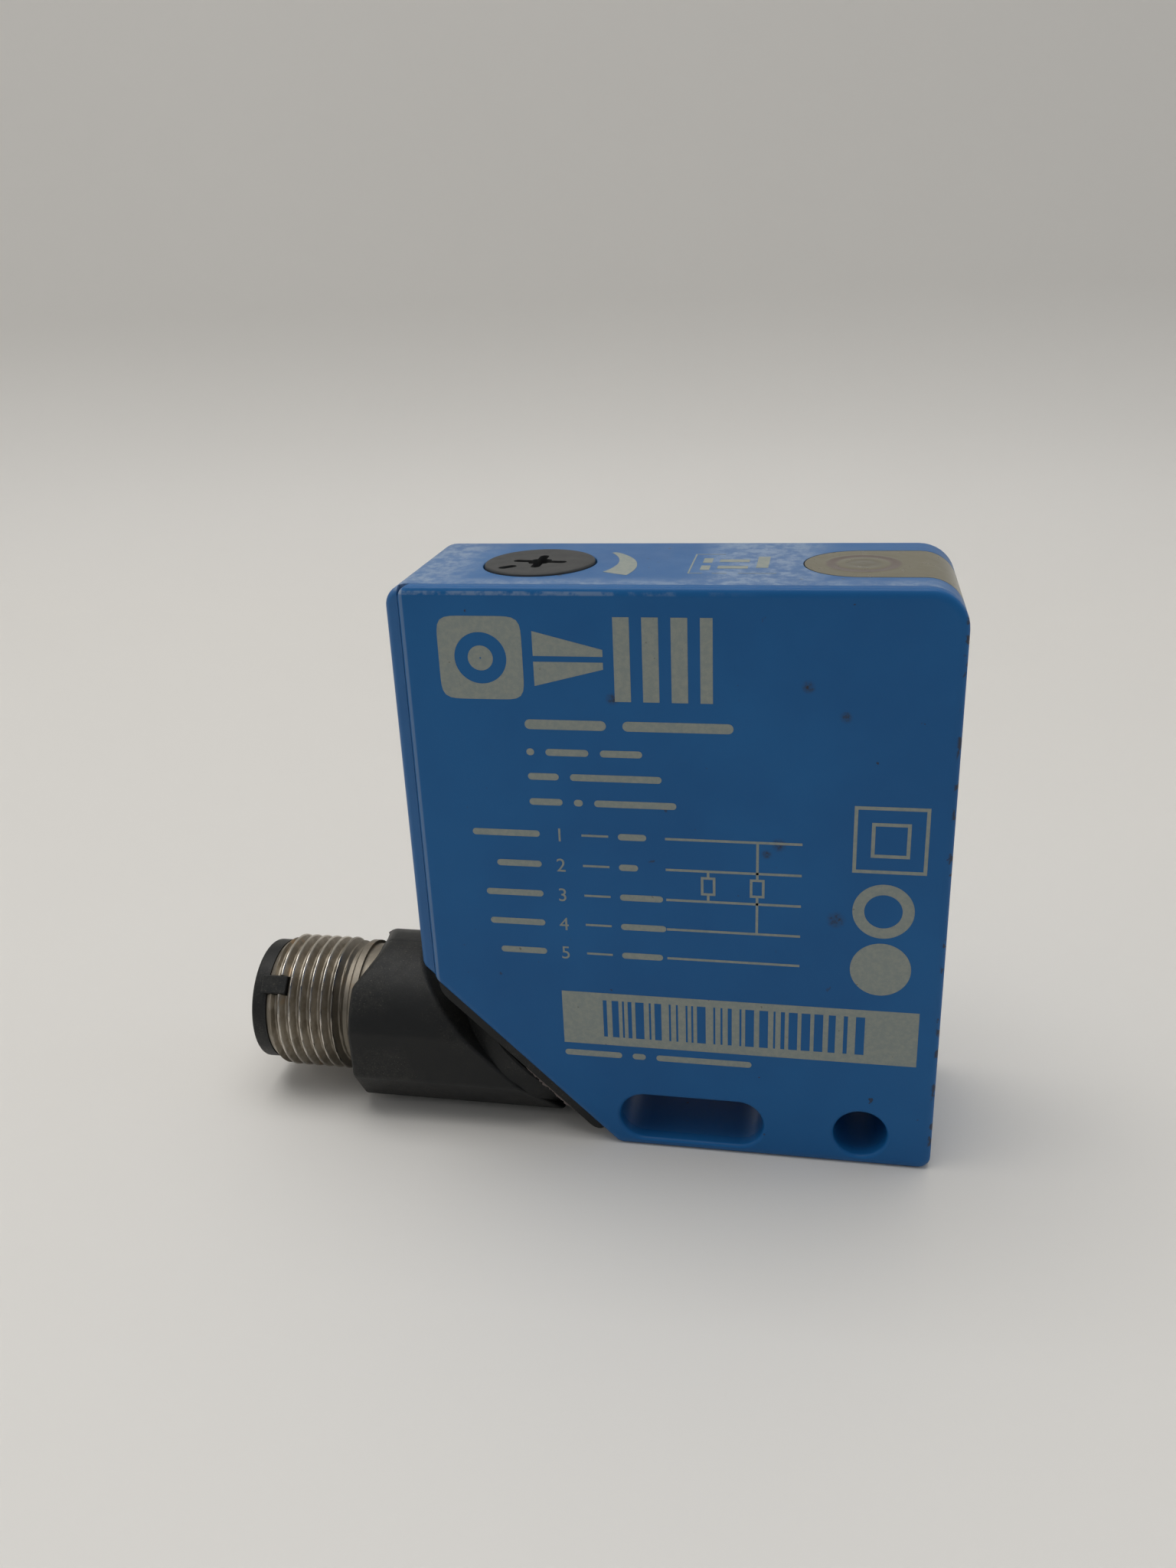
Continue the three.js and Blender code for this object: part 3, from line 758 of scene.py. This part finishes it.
def frameStrips(u0, v0, u1, v1, width):
    return [
        boxOutline(u0, v0, u1, v0 + width),
        boxOutline(u0, v1 - width, u1, v1),
        boxOutline(u0, v0 + width, u0 + width, v1 - width),
        boxOutline(u1 - width, v0 + width, u1, v1 - width),
    ]


def pillOutline(u, v, width, height):
    corners = [(a, b, height * 0.499) for a, b in boxOutline(u, v, u + width, v + height)]
    return roundedOutline(corners, 5)


def ringStrips(u, v, inner, outer, count=64):  # inner and outer give a radius for an angle
    strips = []
    for step in range(count):
        a, b = [2 * math.pi * (step + k) / count for k in (0, 1)]
        turns = ((a, inner), (a, outer), (b, outer), (b, inner))
        strips.append([(u + reach(t) * math.cos(t), v + reach(t) * math.sin(t)) for t, reach in turns])
    return strips


def digitPiece(name, entries, surface):  # entries are (text, x, z, size)
    build = bmesh.new()
    for text, x, z, size in entries:
        curve = bpy.data.curves.new("digits", "FONT")
        curve.body = text
        curve.size = size * mm
        curve.extrude = inkThickness * mm
        label = bpy.data.objects.new("digits", curve)
        bpy.context.scene.collection.objects.link(label)
        graph = bpy.context.evaluated_depsgraph_get()
        mesh = bpy.data.meshes.new_from_object(label.evaluated_get(graph))
        upright = Matrix.Rotation(math.pi / 2, 4, "X")
        mesh.transform(Matrix.Translation(Vector((x, surface, z)) * mm) @ upright)
        build.from_mesh(mesh)
        bpy.data.objects.remove(label)
        bpy.data.meshes.remove(mesh)
    bmesh.ops.remove_doubles(build, verts=build.verts, dist=weldGap * mm)
    settleInk(name, build)


printForm = {
    "markLeft": -17.0,
    "markLow": 40.0,
    "markHigh": 46.4,
    "lines": [  # left, foot, height and the widths of the words
        (-10.75, 37.3, 1.55, (6.2, 8.2)),
        (-10.75, 35.3, 1.1, (0.6, 3.3, 3.2)),
        (-10.75, 33.3, 1.1, (2.4, 7.0)),
        (-10.75, 31.2, 1.1, (2.6, 0.7, 6.3)),
        (-9.05, 8.45, 1.1, (4.8, 1.1, 7.8)),
    ],
    "beam": (0.8, 6.0),
    "marks": (1.2, 1.2, 1.2, 0.9),
    "markGap": 0.9,
    "rows": [(5.4, 2.2), (3.6, 1.5), (4.65, 3.4), (4.5, 3.6), (3.8, 3.3)],
    "rowTop": 29.02,
    "rowPitch": 2.615,
    "lineLeft": -0.3,
    "lineRight": 10.05,
    "line": 0.2,
    "boxes": (24.34, 25.92),
    "boxHalf": 0.56,
    "squareX": 16.48,
    "squareZ": 29.62,
    "squareHalves": (2.72, 1.42),
    "squareLine": 0.27,
    "ringX": 16.2,
    "ringZ": (23.7, 18.65),
    "ringRadii": (1.42, 2.3),
    "panel": (-9.08, 9.95, 19.36, 14.92),
    "bars": (-5.7, 10.75, 15.87, 14.25),
}


def makeFrontPrint():
    p = printForm
    face = coverLow.y

    # A light head, its beam and the marks that it reads.
    middle = (p["markLow"] + p["markHigh"]) / 2
    half = (p["markHigh"] - p["markLow"]) / 2
    headX = p["markLeft"] + half
    squircle = lambda t: half / (abs(math.cos(t)) ** 7 + abs(math.sin(t)) ** 7) ** (1 / 7)
    header = ringStrips(headX, middle, lambda t: half * 0.62, squircle)
    header += ringStrips(headX, middle, lambda t: half * 0.02, lambda t: half * 0.30, 32)
    beamLeft, beamRight = [p["markLeft"] + 2 * half + along for along in p["beam"]]
    for side in (-1, 1):
        beam = [(beamLeft, middle + side * 0.22), (beamRight, middle + side * 0.22)]
        beam += [(beamRight, middle + side * 0.75), (beamLeft, middle + side * 2.1)]
        header.append(beam)
    left = beamRight + 0.8
    for width in p["marks"]:
        header.append(boxOutline(left, p["markLow"], left + width, p["markHigh"]))
        left += width + p["markGap"]
    inkSolid("ink_beam_symbol", header, acrossY, face, -1)

    text = []
    for left, z, height, words in p["lines"]:
        for width in words:
            text.append(pillOutline(left, z + height * 0.25, width, height * 0.5))
            left += width + height * 0.8
    rows = [p["rowTop"] - p["rowPitch"] * row for row in range(5)]
    for z, (word, label) in zip(rows, p["rows"]):
        text.append(pillOutline(-10.1 - word, z - 0.27, word, 0.54))
        text.append(pillOutline(-3.95, z - 0.27, label, 0.54))
        text.append(boxOutline(-6.8, z - 0.09, -4.7, z + 0.09))
    inkSolid("ink_text_bars", text, acrossY, face, -1)
    digits = [(str(row + 1), -8.95, z - 0.58, 1.62) for row, z in enumerate(rows)]
    digitPiece("ink_pin_numbers", digits, face)

    line = p["line"] / 2
    wiring = [boxOutline(p["lineLeft"], z - line, p["lineRight"], z + line) for z in rows]
    low, high = p["boxes"]
    for x, top, bottom in ((2.97, rows[1], rows[2]), (6.72, rows[0], rows[3])):
        wiring += frameStrips(x - p["boxHalf"], low, x + p["boxHalf"], high, p["line"])
        wiring.append(boxOutline(x - line, high, x + line, top - line))
        wiring.append(boxOutline(x - line, bottom + line, x + line, low))
    inkSolid("ink_wiring_lines", wiring, acrossY, face, -1)

    symbols = []
    x, z = p["squareX"], p["squareZ"]
    for half in p["squareHalves"]:
        symbols += frameStrips(x - half, z - half, x + half, z + half, p["squareLine"])
    inner, outer = p["ringRadii"]
    upper, lower = p["ringZ"]
    symbols += ringStrips(p["ringX"], upper, lambda t: inner, lambda t: outer)
    symbols.append(circleOutline(p["ringX"], lower, outer, 64))
    inkSolid("ink_symbols", symbols, acrossY, face, -1)

    left, low, right, high = p["panel"]
    barLeft, barLow, barRight, barHigh = p["bars"]
    panel = [boxOutline(left, low, right, barLow), boxOutline(left, barHigh, right, high)]
    draw = random.Random(7)
    edge, x = left, barLeft
    while x < barRight - 0.9:
        bar = draw.choice((0.16, 0.16, 0.32, 0.55, 0.7))
        panel.append(boxOutline(edge, barLow, x, barHigh))
        edge = x + bar
        x = edge + draw.choice((0.3, 0.42, 0.42, 0.62))
    panel.append(boxOutline(edge, barLow, right, barHigh))
    inkSolid("ink_striped_panel", panel, acrossY, face, -1)


topPrint = {
    "wedgeSteps": 20,
    "wedgeInner": 6.15,
    "wedgeStart": 34.5,
    "wedgeSweep": 62.5,
    "wedgeTip": 0.35,
    "wedgeGrowth": 1.85,
    "windowMarks": [
        (1.9, 0.1, 2.6, 1.6),
        (1.9, -2.2, 2.6, -0.8),
        (3.15, 0.35, 5.4, 1.2),
        (3.15, -1.75, 5.4, -0.9),
        (6.0, -1.5, 6.9, 2.1),
        (1.1, -3.3, 1.22, 3.0),
        (1.22, -3.3, 2.2, -3.18),
        (2.9, -3.3, 4.0, -3.18),
        (4.8, -3.3, 7.6, -3.18),
        (1.22, 2.88, 3.4, 3.0),
    ],
}


def makeTopPrint():
    p = topPrint
    face = shellHigh.z
    wedge = []
    steps, inner = p["wedgeSteps"], p["wedgeInner"]
    for step in range(steps):
        sides = []
        for share in (step / steps, (step + 1) / steps):
            angle = math.radians(p["wedgeStart"] - p["wedgeSweep"] * share)
            sides.append((angle, inner + p["wedgeTip"] + p["wedgeGrowth"] * share ** 0.9))
        (a, outerA), (b, outerB) = sides
        reaches = ((b, inner), (b, outerB), (a, outerA), (a, inner))
        wedge.append([(dialX + reach * math.cos(t), reach * math.sin(t)) for t, reach in reaches])
    marks = [boxOutline(*mark) for mark in p["windowMarks"]]
    inkSolid("ink_wedge", wedge, acrossZ, face, 1)
    inkSolid("ink_window_marks", marks, acrossZ, face, 1)


makeFrontPrint()
makeTopPrint()
print("printed marks made")


# Threshold dial.

dialForm = {
    "rim": 0.18,
    "proud": 0.16,
    "thick": 1.6,
    "stem": 1.8,
    "grooves": [  # distance from the centre, length, width, depth and angle
        (0, 4.3, 0.72, 0.9, -6),
        (0, 4.1, 0.72, 0.9, 90),
        (0, 2.0, 0.9, 0.9, 42),
        (0, 1.8, 0.8, 0.9, 132),
        (2.85, 1.5, 0.75, 0.5, 222),  # the pointer
    ],
}


def makeDial():
    form = dialForm
    radius = dialHigh.x - dialX
    top = shellHigh.z + form["proud"]
    under = top - form["thick"]
    stem = form["stem"]
    profile = [(0, dialLow.z), (stem, dialLow.z), (stem, under), (radius - 0.1, under), (radius, under + 0.1)]
    profile += turnedCorner(radius - form["rim"], top - form["rim"], form["rim"], 0, 5)
    profile += [(radius - 0.7, top - 0.02), (0, top - 0.05)]
    centre = Vector((dialX, 0, 0))
    dial = turned("dial_knob", profile, centre, Vector((0, 0, 1)), 128)
    for away, length, width, depth, angle in form["grooves"]:
        outline = stadiumOutline(away, 0, length, width, 6)
        tool = slab("cutter", outline, acrossZ, top - depth, top + 1)
        turn = Matrix.Rotation(math.radians(angle), 4, "Z")
        tool.data.transform(Matrix.Translation(centre * mm) @ turn)
        combine(dial, "DIFFERENCE", tool)
    shade(dial)
    settle(dial, "dial", "black_plastic", "threshold_dial", material=dialMaterial)


dialMaterial = plasticFinish("dial_moulding", (0.040, 0.042, 0.043), 0.5, 0.006, 0.15)
makeDial()
print("dial made")


# Lens and its ring on the optics side.

lensForm = {"ringBore": 3.9, "seat": 19.9, "edge": 3.75, "domeSteps": 16}


def makeLens():
    form = lensForm
    axis = Vector((1, 0, 0))
    centre = Vector((0, 0, lensZ))
    inner, outer = form["ringBore"], ringHigh.y
    front, back = ringHigh.x, ringLow.x
    profile = [(inner + 0.1, back), (outer - 0.05, back)]
    profile += turnedCorner(outer - 0.15, front - 0.15, 0.15, 0, 4)
    profile += [(inner + 0.45, front), (inner + 0.38, front - 0.03), (inner, front - 0.35)]
    ring = turned("lens_bezel", profile, centre, axis)
    shade(ring)
    settle(ring, "housing", "black_plastic", "lens_ring")

    low, high = boxMm("objective_lens")
    seat, edge, steps = form["seat"], form["edge"], form["domeSteps"]
    rise = high.x - seat
    ball = (edge ** 2 + rise ** 2) / (2 * rise)
    dome = []
    for step in range(steps + 1):
        angle = math.asin(edge / ball) * (1 - step / steps)
        dome.append((ball * math.sin(angle), seat + rise - ball * (1 - math.cos(angle))))
    dome[-1] = (0, high.x)
    profile = [(0, low.x), (high.y - 0.1, low.x), (high.y, low.x + 0.1)]
    profile += [(high.y, seat - 0.1), (high.y - 0.1, seat)]
    lens = turned("front_lens", profile + dome, centre, axis)
    shade(lens)
    settle(lens, "housing", "clear_plastic", "objective_lens")


makeLens()
print("lens made")


# Swivel plate, elbow, sleeve, insert and pins.

elbowForm = {
    "endRim": 0.35,
    "slantGap": 2.97,
    "slantRim": 0.3,
    "top": 14.1,
    "shoulder": 8.7,
    "flatLow": 4.4,
    "bottomHalf": 5.1,
    "bevelStart": 12.0,
    "bevelSlope": 0.95,
    "neck": 7.2,
    "partingHalf": 0.07,
    "partingDepth": 0.06,
    "stub": 3.9,
    "grooves": [(3.0, 0.2, 5, 1.4), (3.1, 3, 5, 4.3)],  # for the seal and the retaining ring
    "bore": 2.3,
}


def elbowSection():
    form = elbowForm
    half, top, bottom = elbowHigh.y, form["top"], elbowLow.z
    rise = top - form["shoulder"]
    radius = (half ** 2 + rise ** 2) / (2 * rise)
    centre = top - radius
    start = math.atan2(form["shoulder"] - centre, half)
    steps = 48
    angles = [start + (math.pi - 2 * start) * step / steps for step in range(steps + 1)]
    middle = steps // 2
    halfGroove = form["partingHalf"] / radius
    angles[middle:middle + 1] = [math.pi / 2 - halfGroove, math.pi / 2, math.pi / 2 + halfGroove]
    roof = [(radius * math.cos(a), centre + radius * math.sin(a), 0) for a in angles]
    roof[middle + 1] = (0, top - form["partingDepth"], 0)
    foot, flank = form["bottomHalf"], form["flatLow"]
    corners = [(-foot, bottom, 0.8), (foot, bottom, 0.8), (half, flank, 0.9)]
    return roundedOutline(corners + roof + [(-half, flank, 0.9)], 6)


def makeElbow():
    form = elbowForm
    section = elbowSection()
    slant = cutSum - form["slantGap"] * math.sqrt(2)
    bevel = lambda z: max(0, z - form["bevelStart"]) * form["bevelSlope"]
    rings = []
    for step in range(5):
        angle = math.pi / 2 * step / 4
        shape = offsetOutline(section, -form["endRim"] * (1 - math.sin(angle)))
        depth = form["endRim"] * (1 - math.cos(angle))
        rings.append([(elbowLow.x + depth + bevel(z), y, z) for y, z in shape])
    rings.append([(elbowLow.x + 0.9 + bevel(z), y, z) for y, z in section])
    for step in range(4, -1, -1):
        angle = math.pi / 2 * step / 4
        shape = offsetOutline(section, -form["slantRim"] * (1 - math.sin(angle)))
        depth = form["slantRim"] * (1 - math.cos(angle)) * math.sqrt(2)
        rings.append([(slant - z - depth, y, z) for y, z in shape])
    elbow = loft("elbow_moulding", rings)
    radius = form["neck"]
    profile = [(0, -4.5), (radius, -4.5), (radius, -1.3), (radius - 0.15, -1.15), (0, -1.15)]
    neck = turned("cutter", profile, swivelCentre, swivelAxis, 128)
    combine(neck, "INTERSECT", slab("cutter", section, acrossX, -30, 0))
    stub = turned("cutter", boxOutline(0, -2, form["stub"], 4.6), swivelCentre, swivelAxis)
    combine(elbow, "UNION", neck, stub)
    tools = [
        turned("cutter", boxOutline(*groove), swivelCentre, swivelAxis) for groove in form["grooves"]
    ]
    tools.append(turned("cutter", boxOutline(0, -6, form["bore"], 6), swivelCentre, swivelAxis, 48))
    alongX = Vector((1, 0, 0))
    for z, radius, start, end in ((plugZ, 5.7, -30, -26.6), (plugZ, 4, -27, -22.6), (5.2, 2.3, -24, -15.5)):
        tools.append(turned("cutter", boxOutline(0, start, radius, end), Vector((0, 0, z)), alongX, 48))
    combine(elbow, "DIFFERENCE", *tools)
    shade(elbow)
    settle(elbow, "plug_elbow", "black_plastic", "elbow_body")


flangeForm = {
    "box": (-7.3, -9.4, 7.3, 10.2),
    "corner": 1.5,
    "faces": (-0.88, -0.02),
    "collar": 5.4,
    "bore": 4.2,
}


def makeFlange():
    form = flangeForm
    plate = roundedOutline([(u, v, form["corner"]) for u, v in boxOutline(*form["box"])], 8)
    flange = slab("swivel_plate", plate, acrossSwivel, *form["faces"], 0.12, 0, 3)
    collar = turned("cutter", boxOutline(0, -0.4, form["collar"], 2.4), swivelCentre, swivelAxis)
    combine(flange, "UNION", collar)
    bore = turned("cutter", boxOutline(0, -clear, form["bore"], 4), swivelCentre, swivelAxis)
    combine(flange, "DIFFERENCE", bore)
    shade(flange)
    settle(flange, "housing", "black_plastic", "swivel_flange")


burrForm = {"from": -0.4, "to": -6.2, "steps": 46, "reach": 0.16, "width": 0.05, "edge": -7.22}


def makeBurr():
    # A thin ragged fin that the mould left along the plate's front edge.
    form = burrForm
    draw = random.Random(11)
    rings = []
    for step in range(form["steps"] + 1):
        share = step / form["steps"]
        along = form["from"] + (form["to"] - form["from"]) * share
        taper = math.sin(math.pi * min(max(share, 0.02), 0.98)) ** 0.4
        reach = form["reach"] * (0.25 + draw.random()) * taper
        middle = swivelCentre + swivelAxis * -0.86 + swivelUp * along
        edge = form["edge"]
        tip = edge - reach * 0.5
        corners = [(edge, 0.02), (tip, -reach), (tip + form["width"], -reach), (edge + 0.12, 0.02)]
        rings.append([tuple(middle + Vector((0, y, 0)) + swivelAxis * n) for y, n in corners])
    burr = loft("plate_burr", rings)
    shade(burr)
    settle(burr, "housing", "black_plastic", material=burrMaterial)


# The fin's pale colour is a painted highlight along the plate's front edge.
burrMaterial = plasticFinish("burr_highlight_plastic", (0.16, 0.13, 0.12), 0.45, 0.006)
threadForm = {
    "pitch": 1.0,
    "crest": 6.0,
    "root": 5.39,
    "bore": 4.9,
    "rows": 20,  # rings of points for each millimetre
    "around": 144,
    "notchAngle": 136.0,
    "notchWidth": 1.74,
    "notchLength": 3.05,
    "shoulder": 0.75,
    "spigot": 5.55,
}


def threadRadius(x, angle):
    form = threadForm
    start = sleeveLow.x
    shoulder = elbowLow.x
    if x > shoulder - form["shoulder"]:
        chamfer = min(x - (shoulder - form["shoulder"]), 0.2)
        return form["crest"] - 0.35 + chamfer
    phase = ((x - start) / form["pitch"] - angle / (2 * math.pi)) % 1
    flank = abs(phase - 0.5) * 2  # 1 at the crest, 0 in the root
    share = min(max((flank - 0.14) / 0.78, 0), 1)
    radius = form["root"] + (form["crest"] - form["root"]) * share
    leadIn = form["root"] - 0.1 + (x - start) * 0.8
    runOut = form["root"] + max(0, (shoulder - 1.3 - x) * 1.4)
    return min(radius, leadIn, runOut) if x < shoulder - 1.25 else form["root"] - 0.05


def keyCutter(width, length, inner, outer, start, rim=0.0):
    corners = boxOutline(start, -width / 2, start + length, width / 2)
    shape = roundedOutline([(a, b, 0.12) for a, b in corners], 4)
    tool = slab("cutter", shape, acrossY, inner, outer, 0, rim)
    turn = Matrix.Rotation(math.radians(threadForm["notchAngle"]), 4, "X")
    tool.data.transform(Matrix.Translation(Vector((0, 0, plugZ)) * mm) @ turn)
    return tool


def makeSleeve():
    form = threadForm
    start, end = sleeveLow.x, elbowLow.x + 0.02
    rows = round((end - start) * form["rows"])
    count = form["around"]
    rings = []
    for row in range(rows + 1):
        x = start + (end - start) * row / rows
        ring = []
        for index in range(count):
            angle = 2 * math.pi * index / count
            radius = threadRadius(x, angle)
            ring.append((x, radius * math.cos(angle), plugZ + radius * math.sin(angle)))
        rings.append(ring)
    spigot, bore = form["spigot"], form["bore"]
    for x, radius in ((end, spigot), (sleeveHigh.x, spigot), (sleeveHigh.x, bore), (start, bore)):
        rings.append(acrossX(circleOutline(0, plugZ, radius, count), x))
    points = [point for ring in rings for point in ring]
    faces = []
    for level in range(len(rings)):
        base = level * count
        over = (level + 1) % len(rings) * count
        for index in range(count):
            following = (index + 1) % count
            faces.append((base + index, base + following, over + following, over + index))
    sleeve = addMesh("threaded_collar", points, faces)
    notch = keyCutter(form["notchWidth"], form["notchLength"], 4.4, 8, start - 1)
    combine(sleeve, "DIFFERENCE", notch)
    shade(sleeve, 40)
    settle(sleeve, "plug_elbow", "nickel_plated_brass", "threaded_sleeve")


insertForm = {
    "cavity": 4.15,
    "floor": -31.0,
    "body": 4.86,
    "outerKey": (1.66, 2.35, 4.6, 5.85),  # width, length, inner and outer reach
    "innerKey": (1.0, 7.0, 3.6, 4.5),
    "socket": 0.62,
    "socketThroat": 0.52,
    "socketEnd": -26,
}


def makeInsert():
    form = insertForm
    rim = insertHigh.y
    cavity, floor, body = form["cavity"], form["floor"], form["body"]
    seat = sleeveLow.x - 0.03
    profile = [(0, floor), (cavity, floor)]
    profile += [(cavity, insertLow.x + 0.15), (cavity + 0.15, insertLow.x)]
    profile += turnedCorner(rim - 0.25, insertLow.x + 0.25, 0.25, -90, 5)
    profile += [(rim, seat), (body, seat), (body, insertHigh.x), (0, insertHigh.x)]
    insert = turned("plug_insert", profile, Vector((0, 0, plugZ)), Vector((1, 0, 0)))
    outer = keyCutter(*form["outerKey"], seat - 0.4, 0.12)
    inner = keyCutter(*form["innerKey"], insertLow.x + 0.25)
    combine(insert, "UNION", outer, inner)
    wide, throat, end = form["socket"], form["socketThroat"], form["socketEnd"]
    socket = [(0, floor - 0.35), (wide, floor - 0.35), (wide, floor + 0.2)]
    socket += [(throat, floor + 0.3), (throat, end), (0, end)]
    for number in range(1, 6):
        low, high = boxMm(f"contact_pin_{number}")
        middle = (low + high) / 2
        tool = turned("cutter", socket, Vector((0, middle.y, middle.z)), Vector((1, 0, 0)), 32)
        combine(insert, "DIFFERENCE", tool)
    shade(insert)
    settle(insert, "plug_elbow", "black_plastic", "contact_insert")


pinForm = {"tip": 0.5, "steps": (0.08, 0.2, 0.4, 0.65, 1)}


def makePins():
    form = pinForm
    for number in range(1, 6):
        low, high = boxMm(f"contact_pin_{number}")
        middle = Vector((0, (low.y + high.y) / 2, (low.z + high.z) / 2))
        radius = (high.z - low.z) / 2
        profile = [(0, low.x)]
        profile += [(radius * share ** 0.5, low.x + form["tip"] * share ** 1.5) for share in form["steps"]]
        profile += [(radius, high.x - 0.1), (radius - 0.1, high.x), (0, high.x)]
        pin = turned(f"plug_pin_{number}", profile, middle, Vector((1, 0, 0)), 40)
        shade(pin)
        settle(pin, "plug_elbow", "gold_plated_brass", f"contact_pin_{number}")


makeFlange()
makeBurr()
makeElbow()
makeSleeve()
makeInsert()
makePins()
print("swivel, elbow and plug made")


# Floor, backdrop, light and camera.

studio = {
    "floor": (0.76, 0.745, 0.715),
    "sweepStart": 160,
    "sweepRadius": 60,
    "halfWidth": 900,
    "depth": 600,
    "lights": [  # name, place, target, size, power, spread and colour
        ("top_light", (-0.10, 0.10, 0.75), (0, 0, 0), 0.7, 4.6, 180, (1.0, 0.98, 0.95)),
        ("side_light", (-0.8, -0.3, 0.5), (0, 0, 0.02), 0.5, 0.8, 180, (1.0, 0.96, 0.90)),
        ("edge_light", (0.55, 0.10, 0.22), (0, 0, 0.02), 0.35, 0.085, 80, (0.92, 0.97, 1.0)),
    ],
    "sky": (0.95, 0.97, 1.0, 1),
    "world": 0.25,
    "cameraPlace": (11.96, -95.05, 70.62),
    "cameraTurn": (67.286, 2.396, 10.693),
    "focal": 29.24,
}


def makeStage():
    floorFinish = Finish("pale_floor")
    pale = studio["floor"]
    tone = floorFinish.mix(floorFinish.noise(0.01, 3), pale, [c * 0.97 for c in pale])
    floorFinish.set(Base_Color=tone, Roughness=floorFinish.noise(0.05, 2) * 0.1 + 0.5)
    start, radius, depth = studio["sweepStart"], studio["sweepRadius"], studio["depth"]
    profile = [(-depth, 0)]
    for step in range(13):
        angle = math.pi / 2 * step / 12
        profile.append((start + radius * math.sin(angle), radius - radius * math.cos(angle)))
    profile.append((start + radius, depth))
    sides = (-studio["halfWidth"], studio["halfWidth"])
    points = [(x, y, z - 0.02) for x in sides for y, z in profile]
    count = len(profile)
    faces = [(i, i + 1, count + i + 1, count + i) for i in range(count - 1)]
    sweep = addMesh("backdrop", points, faces)
    sweep.data.materials.append(floorFinish.material)
    for face in sweep.data.polygons:
        face.use_smooth = True


def makeLights():
    for name, place, target, size, power, spread, color in studio["lights"]:
        light = bpy.data.lights.new(name, "AREA")
        light.size = size
        light.energy = power
        light.spread = math.radians(spread)
        light.color = color
        lamp = bpy.data.objects.new(name, light)
        lamp.location = place
        lamp.rotation_euler = (Vector(target) - Vector(place)).to_track_quat("-Z", "Y").to_euler()
        bpy.context.scene.collection.objects.link(lamp)
    world = bpy.data.worlds.new("studio")
    world.use_nodes = True
    sky = world.node_tree.nodes["Background"]
    sky.inputs["Color"].default_value = studio["sky"]
    sky.inputs["Strength"].default_value = studio["world"]
    bpy.context.scene.world = world


def makeCamera():
    data = bpy.data.cameras.new("camera")
    data.lens = studio["focal"]
    data.sensor_width = 36
    data.clip_start = 0.005
    camera = bpy.data.objects.new("camera", data)
    camera.location = Vector(studio["cameraPlace"]) * mm
    camera.rotation_euler = [math.radians(a) for a in studio["cameraTurn"]]
    bpy.context.scene.collection.objects.link(camera)
    bpy.context.scene.camera = camera


makeStage()
makeLights()
makeCamera()
bpy.context.scene.view_settings.view_transform = "Standard"
print("stage, lights and camera set")
